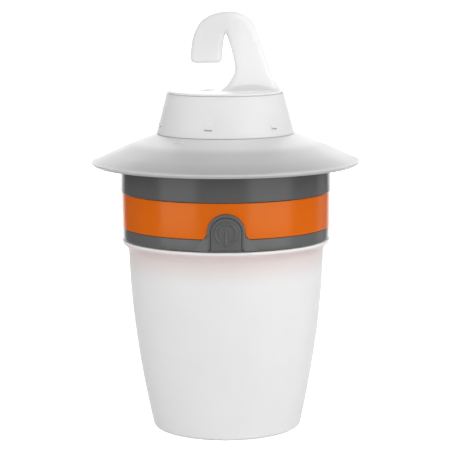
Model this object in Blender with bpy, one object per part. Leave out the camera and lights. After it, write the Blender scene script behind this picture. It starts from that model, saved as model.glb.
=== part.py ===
"""A battery camping lantern that stands on its frosted cup or hangs from its hook.

Sizes are in millimetres, and MM turns them into the scene's metres. The frame has
+Z up, its origin at the centre of the cup's flat bottom, and the button towards -Y.
A turned profile is a list of (radius, height) points.
"""
import math

import bmesh
import bpy
from mathutils import Matrix, Vector

MM = 0.001
GAP = 0.3              # air between two pieces that meet
SEGMENTS = 40          # sides of the large turned pieces
SMALL_SEGMENTS = 16    # sides of cells, bosses and stems
HOLE_SEGMENTS = 12     # sides of screw holes
SHARP_ANGLE = math.radians(35)

# Diffuser cup
CUP_BASE_R = 32.6
CUP_MOUTH_R = 42.95
CUP_NECK_Z = 80.9      # where the wall ends and the lip begins
CUP_TOP_Z = 84.3
CUP_LIP_R = 45.7
CUP_WALL = 1.6
CUP_FLARE = 1.75       # how fast the wall straightens towards the mouth

# Collar: lower ring, orange band, upper ring
RING_Z = CUP_TOP_Z + GAP
BAND_Z = 89.9
BAND_TOP_Z = 105.2
BAND_R = 45.8
BAND_WALL = 2.2
LOWER_R = 45.5
UPPER_R = 46.2
DECK_TOP_Z = 121.6     # top face of the upper ring's deck, under the brim
DECK_T = 1.8
DECK_HOLE_R = 22.5     # the hole that the cells pass through
SKIRT_Z = 101.6        # foot of the upper ring's skirt, inside the band
SPIGOT_R = 40.4
SPIGOT_Z = 72.6
FLOOR_Z = 80.0         # underside of the chassis floor
FLOOR_T = 1.6
WALL = 2.0
SEAL_Z = 79.7          # middle of the groove for the cup's seal
SEAL_GROOVE = 0.9      # depth of that groove and half its height

# Button and the arch around it
ARCH_HALF = 7.95
ARCH_CENTRE_Z = 92.75
ARCH_FACE_R = 46.3
BUTTON_HALF = 6.2
BUTTON_FOOT_Z = 86.2
BUTTON_FACE_R = 46.7
SWITCH_Z = 96.7        # height of the button's stem and of the switch behind it
BOARD_Y = -35.6        # front face of the switch board
BOARD_TOP_Z = 103.0

# Brim and the neck that the battery cover closes on
BRIM_R = 59.05
BRIM_EDGE_Z = 118.0
BRIM_WALL = 1.8
CONE_FOOT_R = 30.3
CONE_FOOT_Z = 130.9
NECK_R = 25.6
NECK_TOP_Z = 138.0

# Battery cover and hook
CONE_TOP_R = 25.75
CONE_TOP_Z = 147.9
COVER_WALL = 1.8
PLATE_Z = 142.0        # underside of the plate across the cover's top
PLATE_TOP_Z = 144.4
LID_TOP_Z = 149.3
HOOK_TOP_Z = 183.4
HOOK_HALF_DEPTH = 4.4
HOOK_EDGE_R = 2.6      # how round the hook's edges are
HOOK_SCREW_R = 18.4    # circle that the hook's screws lie on
PAD_COUNT = 6
PAD_FIRST = -104.5     # where the first grip pad stands, in degrees from +X
PAD_Z = 135.9

# Cells and their cradle
CELL_R = 7.25
CELL_BODY = 49.2
CELL_NUB = 1.2
CELL_CIRCLE_R = 8.9
CRADLE_R = 18.4
CRADLE_WALL = 1.5
CRADLE_Z = FLOOR_Z + FLOOR_T + GAP
CELL_Z = CRADLE_Z + 4.8
CELL_TOP_Z = CELL_Z + CELL_BODY + CELL_NUB

# Light engine under the chassis floor
LED_BOARD_R = 28.0
LED_BOARD_Z = 77.4
LED_BOARD_T = 1.6
LED_CIRCLE_R = 21.0
LED_COUNT = 8
LED_T = 0.8
LEAD_CIRCLE_R = 20.3

# Fasteners
POST_CIRCLE_R = 33.0   # posts of the case screws
BRIM_SCREW_CIRCLE_R = 37.0
SCREW_HEAD = 1.3


# ---------------------------------------------------------------- helpers

def clear_scene():
    for obj in list(bpy.data.objects):
        bpy.data.objects.remove(obj, do_unlink=True)


def finish(name, colour, roughness, metallic):
    """One Principled material."""
    mat = bpy.data.materials.new(name)
    mat.use_nodes = True
    shader = mat.node_tree.nodes["Principled BSDF"]
    shader.inputs["Base Color"].default_value = (*colour, 1.0)
    shader.inputs["Roughness"].default_value = roughness
    shader.inputs["Metallic"].default_value = metallic
    mat.diffuse_color = (*colour, 1.0)
    return mat


def add_object(name, data, mat):
    obj = bpy.data.objects.new(name, data)
    bpy.context.scene.collection.objects.link(obj)
    if not data.materials:
        data.materials.append(mat)
    return obj


def mesh_object(name, bm, mat):
    """Close the bmesh into an object with smooth faces and sharp edges."""
    bmesh.ops.remove_doubles(bm, verts=bm.verts, dist=0.005 * MM)
    bmesh.ops.recalc_face_normals(bm, faces=bm.faces)
    mesh = bpy.data.meshes.new(name)
    bm.to_mesh(mesh)
    bm.free()
    mesh.shade_smooth()
    mesh.set_sharp_from_angle(angle=SHARP_ANGLE)
    return add_object(name, mesh, mat)


def turned(name, profile, mat, segments=SEGMENTS):
    """Spin a profile about Z. One that starts and ends on the axis closes itself."""
    bm = bmesh.new()
    verts = [bm.verts.new((r * MM, 0, z * MM)) for r, z in profile]
    edges = [bm.edges.new(pair) for pair in zip(verts, verts[1:])]
    if profile[0][0] > 0:
        edges.append(bm.edges.new((verts[-1], verts[0])))
    bmesh.ops.spin(bm, geom=verts + edges, cent=(0, 0, 0), axis=(0, 0, 1),
                   angle=math.tau, steps=segments, use_merge=True)
    return mesh_object(name, bm, mat)


def rod(name, radius, low, high, mat, segments=SMALL_SEGMENTS):
    """A plain cylinder along Z, standing on the axis."""
    return turned(name, [(0, low), (radius, low), (radius, high), (0, high)], mat, segments)


def slab(name, size, centre, mat):
    """A rectangular block."""
    bm = bmesh.new()
    place = Matrix.Translation(Vector(centre) * MM) @ Matrix.Diagonal((*(Vector(size) * MM), 1))
    bmesh.ops.create_cube(bm, size=1.0, matrix=place)
    return mesh_object(name, bm, mat)


def prism(name, outline, front, back, mat):
    """Extrude an outline of (x, z) points from y = front to y = back."""
    bm = bmesh.new()
    face = bm.faces.new([bm.verts.new((x * MM, front * MM, z * MM)) for x, z in outline])
    swept = bmesh.ops.extrude_face_region(bm, geom=[face])
    moved = [item for item in swept["geom"] if isinstance(item, bmesh.types.BMVert)]
    bmesh.ops.translate(bm, verts=moved, vec=(0, (back - front) * MM, 0))
    return mesh_object(name, bm, mat)


def wire(name, points, radius, mat):
    """A round wire through the points, closed at both ends."""
    curve = bpy.data.curves.new(name, "CURVE")
    curve.dimensions = "3D"
    curve.bevel_depth = radius * MM
    curve.bevel_resolution = 1
    curve.use_fill_caps = True
    spline = curve.splines.new("POLY")
    spline.points.add(len(points) - 1)
    for point, place in zip(spline.points, points):
        point.co = (*(Vector(place) * MM), 1.0)
    return add_object(name, curve, mat)


def combine(obj, other, operation):
    """Boolean the other object into obj, and remove the other one."""
    modifier = obj.modifiers.new(operation.lower(), "BOOLEAN")
    modifier.operation = operation
    modifier.solver = "EXACT"
    modifier.object = other
    graph = bpy.context.evaluated_depsgraph_get()
    result = bpy.data.meshes.new_from_object(obj.evaluated_get(graph))
    obj.modifiers.clear()
    obj.data = result
    result.shade_smooth()
    result.set_sharp_from_angle(angle=SHARP_ANGLE)
    bpy.data.objects.remove(other, do_unlink=True)
    return obj


def add(obj, other):
    return combine(obj, other, "UNION")


def cut(obj, other):
    return combine(obj, other, "DIFFERENCE")


def put(obj, x, y, z=0.0, turn=0.0):
    obj.location = (x * MM, y * MM, z * MM)
    obj.rotation_euler = (0, 0, turn)
    return obj


def around(radius, count, first=0.0):
    """Evenly spaced (x, y, angle) places on a circle; angles start at +X."""
    for index in range(count):
        angle = math.radians(first) + math.tau * index / count
        yield radius * math.cos(angle), radius * math.sin(angle), angle


def arc(centre_x, centre_z, radius, start, end, steps):
    """Points on an arc, angles in degrees from +X towards +Z."""
    for step in range(steps + 1):
        angle = math.radians(start + (end - start) * step / steps)
        yield centre_x + radius * math.cos(angle), centre_z + radius * math.sin(angle)


def smooth_path(points, steps):
    """A Catmull-Rom curve through the points, as a list."""
    padded = [points[0], *points, points[-1]]
    path = []
    for a, b, c, d in zip(padded, padded[1:], padded[2:], padded[3:]):
        for step in range(steps):
            t = step / steps
            path.append(tuple(
                0.5 * (2 * q + (r - p) * t + (2 * p - 5 * q + 4 * r - s) * t ** 2
                       + (3 * q - p - 3 * r + s) * t ** 3)
                for p, q, r, s in zip(a, b, c, d)))
    path.append(tuple(points[-1]))
    return path


def pivot(name, x, y, z):
    """An empty on a joint's axis, for the moving pieces to hang from."""
    empty = bpy.data.objects.new(name, None)
    empty.location = (x * MM, y * MM, z * MM)
    empty.empty_display_size = 5 * MM
    bpy.context.scene.collection.objects.link(empty)
    return empty


def hang_from(empty, pieces):
    for piece in pieces:
        piece.parent = empty
        piece.matrix_parent_inverse = Matrix.Translation(-empty.location)


# ---------------------------------------------------------------- base: cup and collar

def cup_radius(z):
    """Outer radius of the cup's wall: it flares quickly at the foot, then straightens."""
    left = max(0.0, 1.0 - z / CUP_NECK_Z)
    return CUP_MOUTH_R - (CUP_MOUTH_R - CUP_BASE_R) * left ** CUP_FLARE


def make_diffuser(mat):
    corner = 1.4
    floor = 1.8
    heights = [8, 18, 30, 44, 60, 78.4]
    outer = [(0, 0), *arc(cup_radius(corner) - corner, corner, corner, -90, -10, 2)]
    outer += [(cup_radius(z), z) for z in heights]
    lip = [(CUP_MOUTH_R + 0.15, 79.8), (CUP_MOUTH_R + 1.1, 81.5), (CUP_LIP_R - 0.3, 82.5),
           (CUP_LIP_R, 83.1), (CUP_LIP_R, 83.9), (CUP_LIP_R - 0.4, CUP_TOP_Z),
           (CUP_MOUTH_R - CUP_WALL, CUP_TOP_Z)]
    inner = [(cup_radius(z) - CUP_WALL, z) for z in reversed(heights[::2])]
    inner += [(cup_radius(floor) - CUP_WALL - 1.2, floor), (0, floor)]
    return turned("diffuser", outer + lip + inner, mat)


def arch_outline(half, foot, steps=10):
    """A round-headed arch standing on its foot, centred on the button."""
    return [(half, foot), *arc(0, ARCH_CENTRE_Z, half, 0, 180, steps), (-half, foot)]


def make_chassis(mat):
    """The orange moulding: a spigot inside the cup's mouth, a floor, and the band outside."""
    inner = SPIGOT_R - WALL
    shelf = BAND_Z + WALL
    band_inner = BAND_R - BAND_WALL
    groove_r = SPIGOT_R - SEAL_GROOVE
    groove_low, groove_high = SEAL_Z - SEAL_GROOVE, SEAL_Z + SEAL_GROOVE
    vent_r = 3.0
    profile = [(BAND_R, BAND_TOP_Z), (BAND_R, BAND_Z), (SPIGOT_R, BAND_Z),
               (SPIGOT_R, groove_high), (groove_r, groove_high),
               (groove_r, groove_low), (SPIGOT_R, groove_low),
               (SPIGOT_R, SPIGOT_Z), (inner, SPIGOT_Z), (inner, FLOOR_Z),
               (vent_r, FLOOR_Z), (vent_r, FLOOR_Z + FLOOR_T), (inner, FLOOR_Z + FLOOR_T),
               (inner, shelf), (band_inner, shelf), (band_inner, BAND_TOP_Z)]
    chassis = turned("chassis", profile, mat)
    window = arch_outline(ARCH_HALF + GAP, BAND_Z - 6)
    window_back = -(SPIGOT_R + 0.8)
    cut(chassis, prism("window", window, -50, window_back, mat))
    low, high = FLOOR_Z - 2, FLOOR_Z + 4
    screw_hole_r, lead_hole_r = 1.6, 1.4
    for x, y, _ in around(POST_CIRCLE_R, 3, 90):
        cut(chassis, put(rod("hole", screw_hole_r, low, high, mat, HOLE_SEGMENTS), x, y))
    for x, y, _ in around(LEAD_CIRCLE_R, 2):
        cut(chassis, put(rod("hole", lead_hole_r, low, high, mat, HOLE_SEGMENTS), x, y))
    return chassis


def make_diffuser_seal(mat):
    cord_r = 0.55
    ring = arc(SPIGOT_R + 0.05, SEAL_Z, cord_r, 0, 300, 5)
    return turned("diffuser_seal", list(ring), mat)


def make_lower_collar(mat):
    """The lower grey ring with the arch that frames the button."""
    top = BAND_Z - GAP
    bore = SPIGOT_R + 0.4
    collar = turned("lower_collar", [
        (LOWER_R, top), (LOWER_R, RING_Z + 0.5), (LOWER_R - 0.5, RING_Z),
        (bore, RING_Z), (bore, top)], mat)
    arch = prism("arch", arch_outline(ARCH_HALF, RING_Z), -50, -40, mat)
    inner, above = BAND_R - 2.0, 110
    shell = turned("shell", [
        (ARCH_FACE_R, above), (ARCH_FACE_R, RING_Z), (inner, RING_Z), (inner, above)], mat)
    combine(arch, shell, "INTERSECT")
    add(collar, arch)
    opening = arch_outline(BUTTON_HALF + GAP, BUTTON_FOOT_Z - GAP)
    return cut(collar, prism("opening", opening, -50, -38, mat))


def make_button(mat):
    """The button's cap follows the collar's curve; its stem points at the switch."""
    cap = prism("power_button", arch_outline(BUTTON_HALF, BUTTON_FOOT_Z), -50, -40, mat)
    inner = BUTTON_FACE_R - 2.5
    below, above = 80, 110
    shell = turned("shell", [
        (BUTTON_FACE_R, above), (BUTTON_FACE_R, below), (inner, below), (inner, above)], mat)
    combine(cap, shell, "INTERSECT")
    stem_r, stem_tip, stem_root = 2.2, 42.9, 44.8
    stem = rod("stem", stem_r, stem_tip, stem_root, mat)
    stem.rotation_euler = (math.radians(90), 0, 0)
    stem.location = (0, 0, SWITCH_Z * MM)
    return add(cap, stem)


def make_button_dome(mat):
    """Silicone cap over the switch, open towards the board."""
    wall = 0.7
    outer = 4.4
    base = -BOARD_Y + GAP
    top = 41.9
    dome = turned("button_dome", [
        (0, top), (outer - 1.4, top), (outer - 0.4, top - 0.9), (outer, base), (outer - wall, base),
        (outer - wall - 0.2, top - 1.2), (outer - 1.8, top - wall), (0, top - wall)], mat, SMALL_SEGMENTS)
    dome.rotation_euler = (math.radians(90), 0, 0)
    dome.location = (0, 0, SWITCH_Z * MM)
    return dome


def make_switch(board_mat, switch_mat):
    thickness = 1.4
    foot = FLOOR_Z + FLOOR_T + GAP
    height = BOARD_TOP_Z - foot
    slab("switch_board", (16, thickness, height), (0, BOARD_Y + thickness / 2, foot + height / 2),
         board_mat)
    width = 4.5
    depth = 3.3
    middle = (0, BOARD_Y - GAP - depth / 2, SWITCH_Z)
    switch = slab("tact_switch", (width, depth, width), middle, switch_mat)
    plunger_r, plunger_tip = 1.2, 40.2
    plunger = rod("plunger", plunger_r, plunger_tip - 1.7, plunger_tip, switch_mat, HOLE_SEGMENTS)
    plunger.rotation_euler = (math.radians(90), 0, 0)
    plunger.location = (0, 0, SWITCH_Z * MM)
    add(switch, plunger)


def make_upper_collar(mat):
    """The upper grey ring, its deck under the brim, and the posts for the case screws."""
    play = 0.4
    skirt = BAND_R - BAND_WALL - play
    inner = skirt - 1.6
    deck = DECK_TOP_Z - DECK_T
    draft = 0.45
    collar = turned("upper_collar", [
        (UPPER_R - draft, DECK_TOP_Z), (UPPER_R, BAND_TOP_Z + play), (skirt, BAND_TOP_Z + play),
        (skirt, SKIRT_Z), (inner, SKIRT_Z), (inner, deck), (DECK_HOLE_R, deck),
        (DECK_HOLE_R, DECK_TOP_Z)], mat)
    foot = FLOOR_Z + FLOOR_T + GAP
    post_r, pilot_r, clear_r = 3.2, 1.5, 1.6
    for x, y, _ in around(POST_CIRCLE_R, 3, 90):
        add(collar, put(rod("post", post_r, foot, deck + 0.5, mat), x, y))
        cut(collar, put(rod("hole", pilot_r, foot - 1, foot + 9, mat, HOLE_SEGMENTS), x, y))
    for x, y, _ in around(BRIM_SCREW_CIRCLE_R, 3, 30):
        cut(collar, put(rod("hole", clear_r, deck - 1, DECK_TOP_Z + 1, mat, HOLE_SEGMENTS), x, y))
    return collar


def brim_height(r):
    """Upper face of the brim, a little crowned between its edge and the cone's foot."""
    crown = 0.5
    along = (BRIM_R - r) / (BRIM_R - CONE_FOOT_R)
    rise = CONE_FOOT_Z - GAP - BRIM_EDGE_Z
    return BRIM_EDGE_Z + rise * along + crown * math.sin(math.pi * along)


def make_brim(mat):
    edge = 0.6
    radii = [56.5, 47, 38]
    seat = CONE_FOOT_Z - GAP
    bore = NECK_R - 1.8
    upper = [(r, brim_height(r)) for r in reversed(radii)]
    rim = list(arc(BRIM_R - edge, BRIM_EDGE_Z, edge, 60, -100, 3))
    under = [(r, brim_height(r) - BRIM_WALL) for r in radii]
    neck = [(NECK_R + 1.6, seat - 3.0), (bore, seat - 4.2), (bore, NECK_TOP_Z),
            (NECK_R, NECK_TOP_Z), (NECK_R, seat)]
    brim = turned("brim", [(CONE_FOOT_R, seat), *upper, *rim, *under, *neck], mat)
    foot = DECK_TOP_Z + GAP
    boss_r, pilot_r = 3.0, 1.5
    boss_top = brim_height(BRIM_SCREW_CIRCLE_R + boss_r) - 1.0
    for x, y, _ in around(BRIM_SCREW_CIRCLE_R, 3, 30):
        add(brim, put(rod("boss", boss_r, foot, boss_top, mat), x, y))
        cut(brim, put(rod("hole", pilot_r, foot - 1, foot + 3.8, mat, HOLE_SEGMENTS), x, y))
    return brim


# ---------------------------------------------------------------- head: cover and hook

def cone_radius(z):
    share = (z - CONE_FOOT_Z) / (CONE_TOP_Z - CONE_FOOT_Z)
    return CONE_FOOT_R + (CONE_TOP_R - CONE_FOOT_R) * share


def make_head_cover(mat):
    """The cone: a cap that closes on the brim's neck, with grip pads near its foot."""
    recess = CONE_TOP_R - COVER_WALL
    cover = turned("head_cover", [
        (0, PLATE_TOP_Z), (recess, PLATE_TOP_Z), (recess, CONE_TOP_Z), (CONE_TOP_R, CONE_TOP_Z),
        (CONE_FOOT_R, CONE_FOOT_Z), (CONE_FOOT_R - COVER_WALL, CONE_FOOT_Z),
        (cone_radius(PLATE_Z) - COVER_WALL, PLATE_Z), (0, PLATE_Z)], mat)
    lean = math.atan2(CONE_FOOT_R - CONE_TOP_R, CONE_TOP_Z - CONE_FOOT_Z)
    pad_size = (1.6, 3.5, 3.0)
    sunk = 0.2
    for _, _, angle in around(1.0, PAD_COUNT, PAD_FIRST):
        pad = slab("pad", pad_size, (0, 0, 0), mat)
        centre = Vector((cone_radius(PAD_Z) - sunk, 0, PAD_Z)) * MM
        pad.matrix_world = (Matrix.Rotation(angle, 4, "Z") @ Matrix.Translation(centre)
                            @ Matrix.Rotation(-lean, 4, "Y"))
        add(cover, pad)
    clear_r = 1.6
    for x, y, _ in around(HOOK_SCREW_R, 3, 90):
        cut(cover, put(rod("hole", clear_r, PLATE_Z - 1, PLATE_TOP_Z + 1, mat, HOLE_SEGMENTS), x, y))
    return cover


def hook_stations():
    """The hook seen from the front, from foot to tip, as pairs of outer and inner points."""
    return [
        ((25.1, 148.5), (-3.6, 148.5)), ((22.4, 152.4), (1.2, 152.2)), ((20.0, 157.6), (4.3, 157.6)),
        ((17.3, 165.2), (3.5, 164.0)), ((14.4, 173.8), (1.8, 170.3)), ((11.3, 180.2), (0.8, 173.3)),
        ((4.6, HOOK_TOP_Z), (0.4, 174.0)), ((-3.4, 183.0), (0.0, 173.4)),
        ((-9.8, 179.9), (-0.4, 171.6)), ((-13.4, 174.0), (-0.8, 169.0)),
        ((-14.8, 167.2), (-1.1, 166.0)), ((-15.1, 163.2), (-1.3, 163.2)),
        ((-14.3, 161.6), (-2.1, 161.6))]


def rounded_section(half_width, half_depth, radius, steps=2):
    """Points (across, depth) of a rectangle with round corners."""
    for turn in range(4):
        sign_x = 1 if turn in (0, 3) else -1
        sign_y = 1 if turn in (0, 1) else -1
        centre = (sign_x * (half_width - radius), sign_y * (half_depth - radius))
        yield from arc(*centre, radius, 90 * turn, 90 * turn + 90, steps)


def make_hook_arm(mat):
    """Loft round-cornered sections along the hook; the shank deepens towards its foot."""
    pairs = [(*outer, *inner) for outer, inner in hook_stations()]
    shank_top, shank_length, foot_flare = 172, 22, 1.9
    bm = bmesh.new()
    rings = []
    for outer_x, outer_z, inner_x, inner_z in smooth_path(pairs, 2):
        centre = Vector((outer_x + inner_x, 0, outer_z + inner_z)) / 2
        across = Vector((outer_x - inner_x, 0, outer_z - inner_z)) / 2
        shank = min(1.0, max(0.0, (shank_top - centre.z) / shank_length)) if centre.x > 0 else 0.0
        half_depth = HOOK_HALF_DEPTH + foot_flare * shank ** 2
        points = rounded_section(across.length, half_depth, HOOK_EDGE_R)
        across.normalize()
        rings.append([bm.verts.new((centre + across * u + Vector((0, v, 0))) * MM) for u, v in points])
    for ring, after in zip(rings, rings[1:]):
        for index in range(len(ring)):
            following = (index + 1) % len(ring)
            bm.faces.new((ring[index], ring[following], after[following], after[index]))
    bm.faces.new(rings[0])
    bm.faces.new(rings[-1])
    return mesh_object("arm", bm, mat)


def make_hook(mat):
    """The hook and its round lid are one moulding, screwed to the cover from inside."""
    rim_r = CONE_TOP_R - 0.25
    skirt = CONE_TOP_R - COVER_WALL - GAP
    inner = skirt - 1.6
    under = CONE_TOP_Z + GAP
    foot = PLATE_TOP_Z + GAP
    ceiling = LID_TOP_Z - 1.9
    lid = turned("hook", [
        (0, LID_TOP_Z - 0.3), (rim_r - 1.0, LID_TOP_Z), (rim_r, LID_TOP_Z - 0.6), (rim_r, under),
        (skirt, under), (skirt, foot), (inner, foot), (inner, ceiling), (0, ceiling)], mat)
    add(lid, make_hook_arm(mat))
    cut(lid, slab("recess", (7, 7, 2), (-8.0, 0.5, LID_TOP_Z + 0.1), mat))
    boss_r, pilot_r = 2.7, 1.5
    for x, y, _ in around(HOOK_SCREW_R, 3, 90):
        add(lid, put(rod("boss", boss_r, foot, ceiling + 0.5, mat), x, y))
        cut(lid, put(rod("hole", pilot_r, foot - 1.3, foot + 2.7, mat, HOLE_SEGMENTS), x, y))
    return lid


def make_head_seal(mat):
    cord_r, clear_r, height = 0.8, 1.15, 133.5
    ring = arc(NECK_R + clear_r, height, cord_r, 0, 300, 5)
    return turned("head_seal", list(ring), mat)


# ---------------------------------------------------------------- inside: cells, light, screws

def screw(name, length, mat):
    """A pan-head screw with its head's top at its origin, pointing along +Z."""
    head_r, shank_r, point = 2.5, 1.2, 0.8
    end = SCREW_HEAD + length
    return turned(name, [
        (0, 0), (head_r - 0.9, 0), (head_r, 0.6), (head_r, SCREW_HEAD), (shank_r, SCREW_HEAD),
        (shank_r, end - point), (0, end)], mat, 10)


def make_cradle(mat):
    """The tube that holds the cells, and the lid that carries the upper contacts."""
    inner = CRADLE_R - CRADLE_WALL
    top = CELL_TOP_Z + 0.8
    floor = CRADLE_Z + 1.2
    lid_top = top + 1.9
    cradle = turned("cell_cradle", [
        (0, CRADLE_Z), (CRADLE_R, CRADLE_Z), (CRADLE_R, top), (inner, top), (inner, floor),
        (0, floor)], mat, 32)
    lid = turned("cradle_lid", [
        (0, top + GAP), (CRADLE_R, top + GAP), (CRADLE_R, lid_top - 0.4), (CRADLE_R - 0.8, lid_top),
        (0, lid_top)], mat, 32)
    return cradle, lid


def make_cells(cell_mat, spring_mat):
    turns = 2.5
    steps = 7
    low, high = CRADLE_Z + 1.8, CELL_Z - 0.6
    coil_low_r, coil_high_r, coil_wire_r = 4.2, 2.4, 0.3
    nub_r, edge, top = 2.75, 0.7, CELL_BODY + CELL_NUB
    for number, (x, y, _) in enumerate(around(CELL_CIRCLE_R, 3, 90), start=1):
        cell = turned(f"cell_{number}", [
            (0, 0), (CELL_R - edge, 0), (CELL_R, edge), (CELL_R, CELL_BODY - edge),
            (CELL_R - edge, CELL_BODY), (nub_r, CELL_BODY), (nub_r, top), (0, top)],
            cell_mat, SMALL_SEGMENTS)
        put(cell, x, y, CELL_Z)
        count = int(turns * steps)
        coil = []
        for step in range(count + 1):
            share = step / count
            angle = math.tau * turns * share
            radius = coil_low_r + (coil_high_r - coil_low_r) * share
            coil.append((x + radius * math.cos(angle), y + radius * math.sin(angle),
                         low + (high - low) * share))
        wire(f"cell_spring_{number}", coil, coil_wire_r, spring_mat)


def make_top_contacts(mat):
    """Two thin plates over the cells: one bridges a pair, one stands alone."""
    thickness = 0.4
    z = CELL_TOP_Z + GAP + thickness / 2
    places = list(around(CELL_CIRCLE_R, 3, 90))
    slab("top_contact_1", (7, 7, thickness), (places[0][0], places[0][1], z), mat)
    width = places[2][0] - places[1][0] + 6
    slab("top_contact_2", (width, 6, thickness), (0, places[1][1], z), mat)


def make_leads(red, black):
    """Two short leads clipped along the cradle, from its contacts to the light board."""
    foot = LED_BOARD_Z + LED_BOARD_T + GAP
    lead_r = 0.7
    for name, side, start, mat in (("lead_red", 1, CELL_TOP_Z - 2, red),
                                   ("lead_black", -1, CELL_Z, black)):
        bend = [(CRADLE_R + 1.1, start), (CRADLE_R + 1.5, start - 0.9),
                (LEAD_CIRCLE_R, start - 2.5), (LEAD_CIRCLE_R, foot)]
        wire(name, [(side * r, 0, z) for r, z in bend], lead_r, mat)


def make_light_engine(board_mat, led_mat, white):
    """The board with its ring of LEDs, and the white dish around it."""
    rod("led_board", LED_BOARD_R, LED_BOARD_Z, LED_BOARD_Z + LED_BOARD_T, board_mat, 32)
    places = around(LED_CIRCLE_R, LED_COUNT, 22.5)
    for number, (x, y, angle) in enumerate(places, start=1):
        led = slab(f"led_{number}", (3.5, 2.8, LED_T), (0, 0, 0), led_mat)
        put(led, x, y, LED_BOARD_Z - GAP - LED_T / 2, angle)
    wall = 0.8
    rim = SPIGOT_R - WALL - 0.4
    throat = LED_BOARD_R - 1.0
    dish_z = LED_BOARD_Z - 4.0
    turned("reflector", [
        (throat, LED_BOARD_Z - 0.8), (rim - 1.5, dish_z), (rim, dish_z), (rim, dish_z + 2.0),
        (rim - wall, dish_z + 2.0), (rim - wall, dish_z + 1.0), (rim - 1.6, dish_z + 1.0),
        (throat + 0.4, LED_BOARD_Z - 0.3)], white, 32)


def make_screws(mat):
    """Three case screws, three brim screws and, returned for the head, three hook screws."""
    low = FLOOR_Z - GAP - SCREW_HEAD
    for number, (x, y, _) in enumerate(around(POST_CIRCLE_R, 3, 90), start=1):
        put(screw(f"case_screw_{number}", 9, mat), x, y, low)
    low = DECK_TOP_Z - DECK_T - GAP - SCREW_HEAD
    for number, (x, y, _) in enumerate(around(BRIM_SCREW_CIRCLE_R, 3, 30), start=1):
        put(screw(f"brim_screw_{number}", 5, mat), x, y, low)
    low = PLATE_Z - GAP - SCREW_HEAD
    screws = []
    for number, (x, y, _) in enumerate(around(HOOK_SCREW_R, 3, 90), start=1):
        screws.append(put(screw(f"hook_screw_{number}", 5, mat), x, y, low))
    return screws


# ---------------------------------------------------------------- the lantern

def build():
    clear_scene()
    frosted = finish("frosted", (0.80, 0.80, 0.80), 0.6, 0.0)
    white = finish("white_plastic", (0.85, 0.85, 0.85), 0.5, 0.0)
    orange = finish("orange_plastic", (0.72, 0.19, 0.03), 0.45, 0.0)
    grey = finish("grey_plastic", (0.12, 0.125, 0.13), 0.45, 0.0)
    rubber = finish("seal_rubber", (0.03, 0.03, 0.03), 0.8, 0.0)
    steel = finish("steel", (0.6, 0.6, 0.6), 0.3, 1.0)
    black = finish("black_plastic", (0.02, 0.02, 0.02), 0.5, 0.0)
    red = finish("red_plastic", (0.5, 0.02, 0.02), 0.5, 0.0)
    board = finish("board_green", (0.03, 0.16, 0.07), 0.4, 0.0)
    led = finish("led_yellow", (0.85, 0.7, 0.2), 0.3, 0.0)
    cell = finish("cell_jacket", (0.08, 0.10, 0.22), 0.35, 0.0)

    make_diffuser(frosted)
    make_diffuser_seal(rubber)
    make_chassis(orange)
    make_lower_collar(grey)
    make_upper_collar(grey)
    make_brim(frosted)
    make_switch(board, black)
    make_button_dome(rubber)
    make_cradle(white)
    make_cells(cell, steel)
    make_top_contacts(steel)
    make_leads(red, black)
    make_light_engine(board, led, white)

    head = [make_head_cover(frosted), make_hook(frosted), *make_screws(steel)]
    head_axis = pivot("head_axis", 0, 0, CONE_FOOT_Z)
    hang_from(head_axis, [*head, make_head_seal(rubber)])
    button_axis = pivot("button_axis", 0, -BUTTON_FACE_R, SWITCH_Z)
    hang_from(button_axis, [make_button(grey)])


build()
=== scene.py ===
# %% [markdown]
# # A camping lantern, made in Blender piece by piece
#
# The lantern is a frosted cup under a grey and orange collar, with a wide rain brim,
# a cone that covers the batteries, and a hook to hang it by. The working model already
# gives every piece its place and its motion. This script gives each one its finished
# surface: fine meshes with softened edges, and plastics that look moulded.
#
# Sizes are written in millimetres, because that is how such a piece is drawn, and MM
# turns them into the scene's metres. The origin is the centre of the cup's bottom.

# %% Load the working model
import math
from functools import partial

import bmesh
import bpy
import numpy as np
from mathutils import Matrix, Vector


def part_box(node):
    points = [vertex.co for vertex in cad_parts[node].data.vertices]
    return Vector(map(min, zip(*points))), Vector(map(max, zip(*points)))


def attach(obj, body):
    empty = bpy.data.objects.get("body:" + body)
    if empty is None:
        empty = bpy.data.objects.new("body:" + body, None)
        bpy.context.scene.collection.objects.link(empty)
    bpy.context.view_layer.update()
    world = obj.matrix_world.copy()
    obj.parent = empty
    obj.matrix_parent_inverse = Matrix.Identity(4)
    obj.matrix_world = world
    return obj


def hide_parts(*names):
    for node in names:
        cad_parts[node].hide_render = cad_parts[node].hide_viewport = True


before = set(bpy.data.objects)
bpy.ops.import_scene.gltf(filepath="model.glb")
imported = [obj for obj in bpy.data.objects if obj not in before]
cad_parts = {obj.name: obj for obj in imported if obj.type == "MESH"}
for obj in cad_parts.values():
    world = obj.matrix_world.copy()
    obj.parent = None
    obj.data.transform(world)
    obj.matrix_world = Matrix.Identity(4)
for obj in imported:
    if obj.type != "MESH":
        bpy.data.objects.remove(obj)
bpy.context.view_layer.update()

MM = 0.001

# %% [markdown]
# ## Small tools
#
# Every object gets into the scene the same way, and every node tree is built the same
# way, so these jobs get a function each. A value given to a new node is linked if it is
# another node's socket, and set if it is a number or a colour.

# %% Put an object in the scene, and add nodes to a tree
def put_in_scene(name, data):
    obj = bpy.data.objects.new(name, data)
    bpy.context.scene.collection.objects.link(obj)
    return obj


def add_node(tree, kind, *values, **named):
    """Values fill the inputs in order. A name in small letters is a setting of the node;
    one with a capital is an input, with _ for each space."""
    made = tree.nodes.new(kind)
    inputs = list(enumerate(values))
    for label, value in named.items():
        if label[0].islower():
            setattr(made, label, value)
        else:
            inputs.append((label.replace("_", " "), value))
    for label, value in inputs:
        if isinstance(value, bpy.types.NodeSocket):
            tree.links.new(value, made.inputs[label])
        else:
            made.inputs[label].default_value = value
    return made


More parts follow.
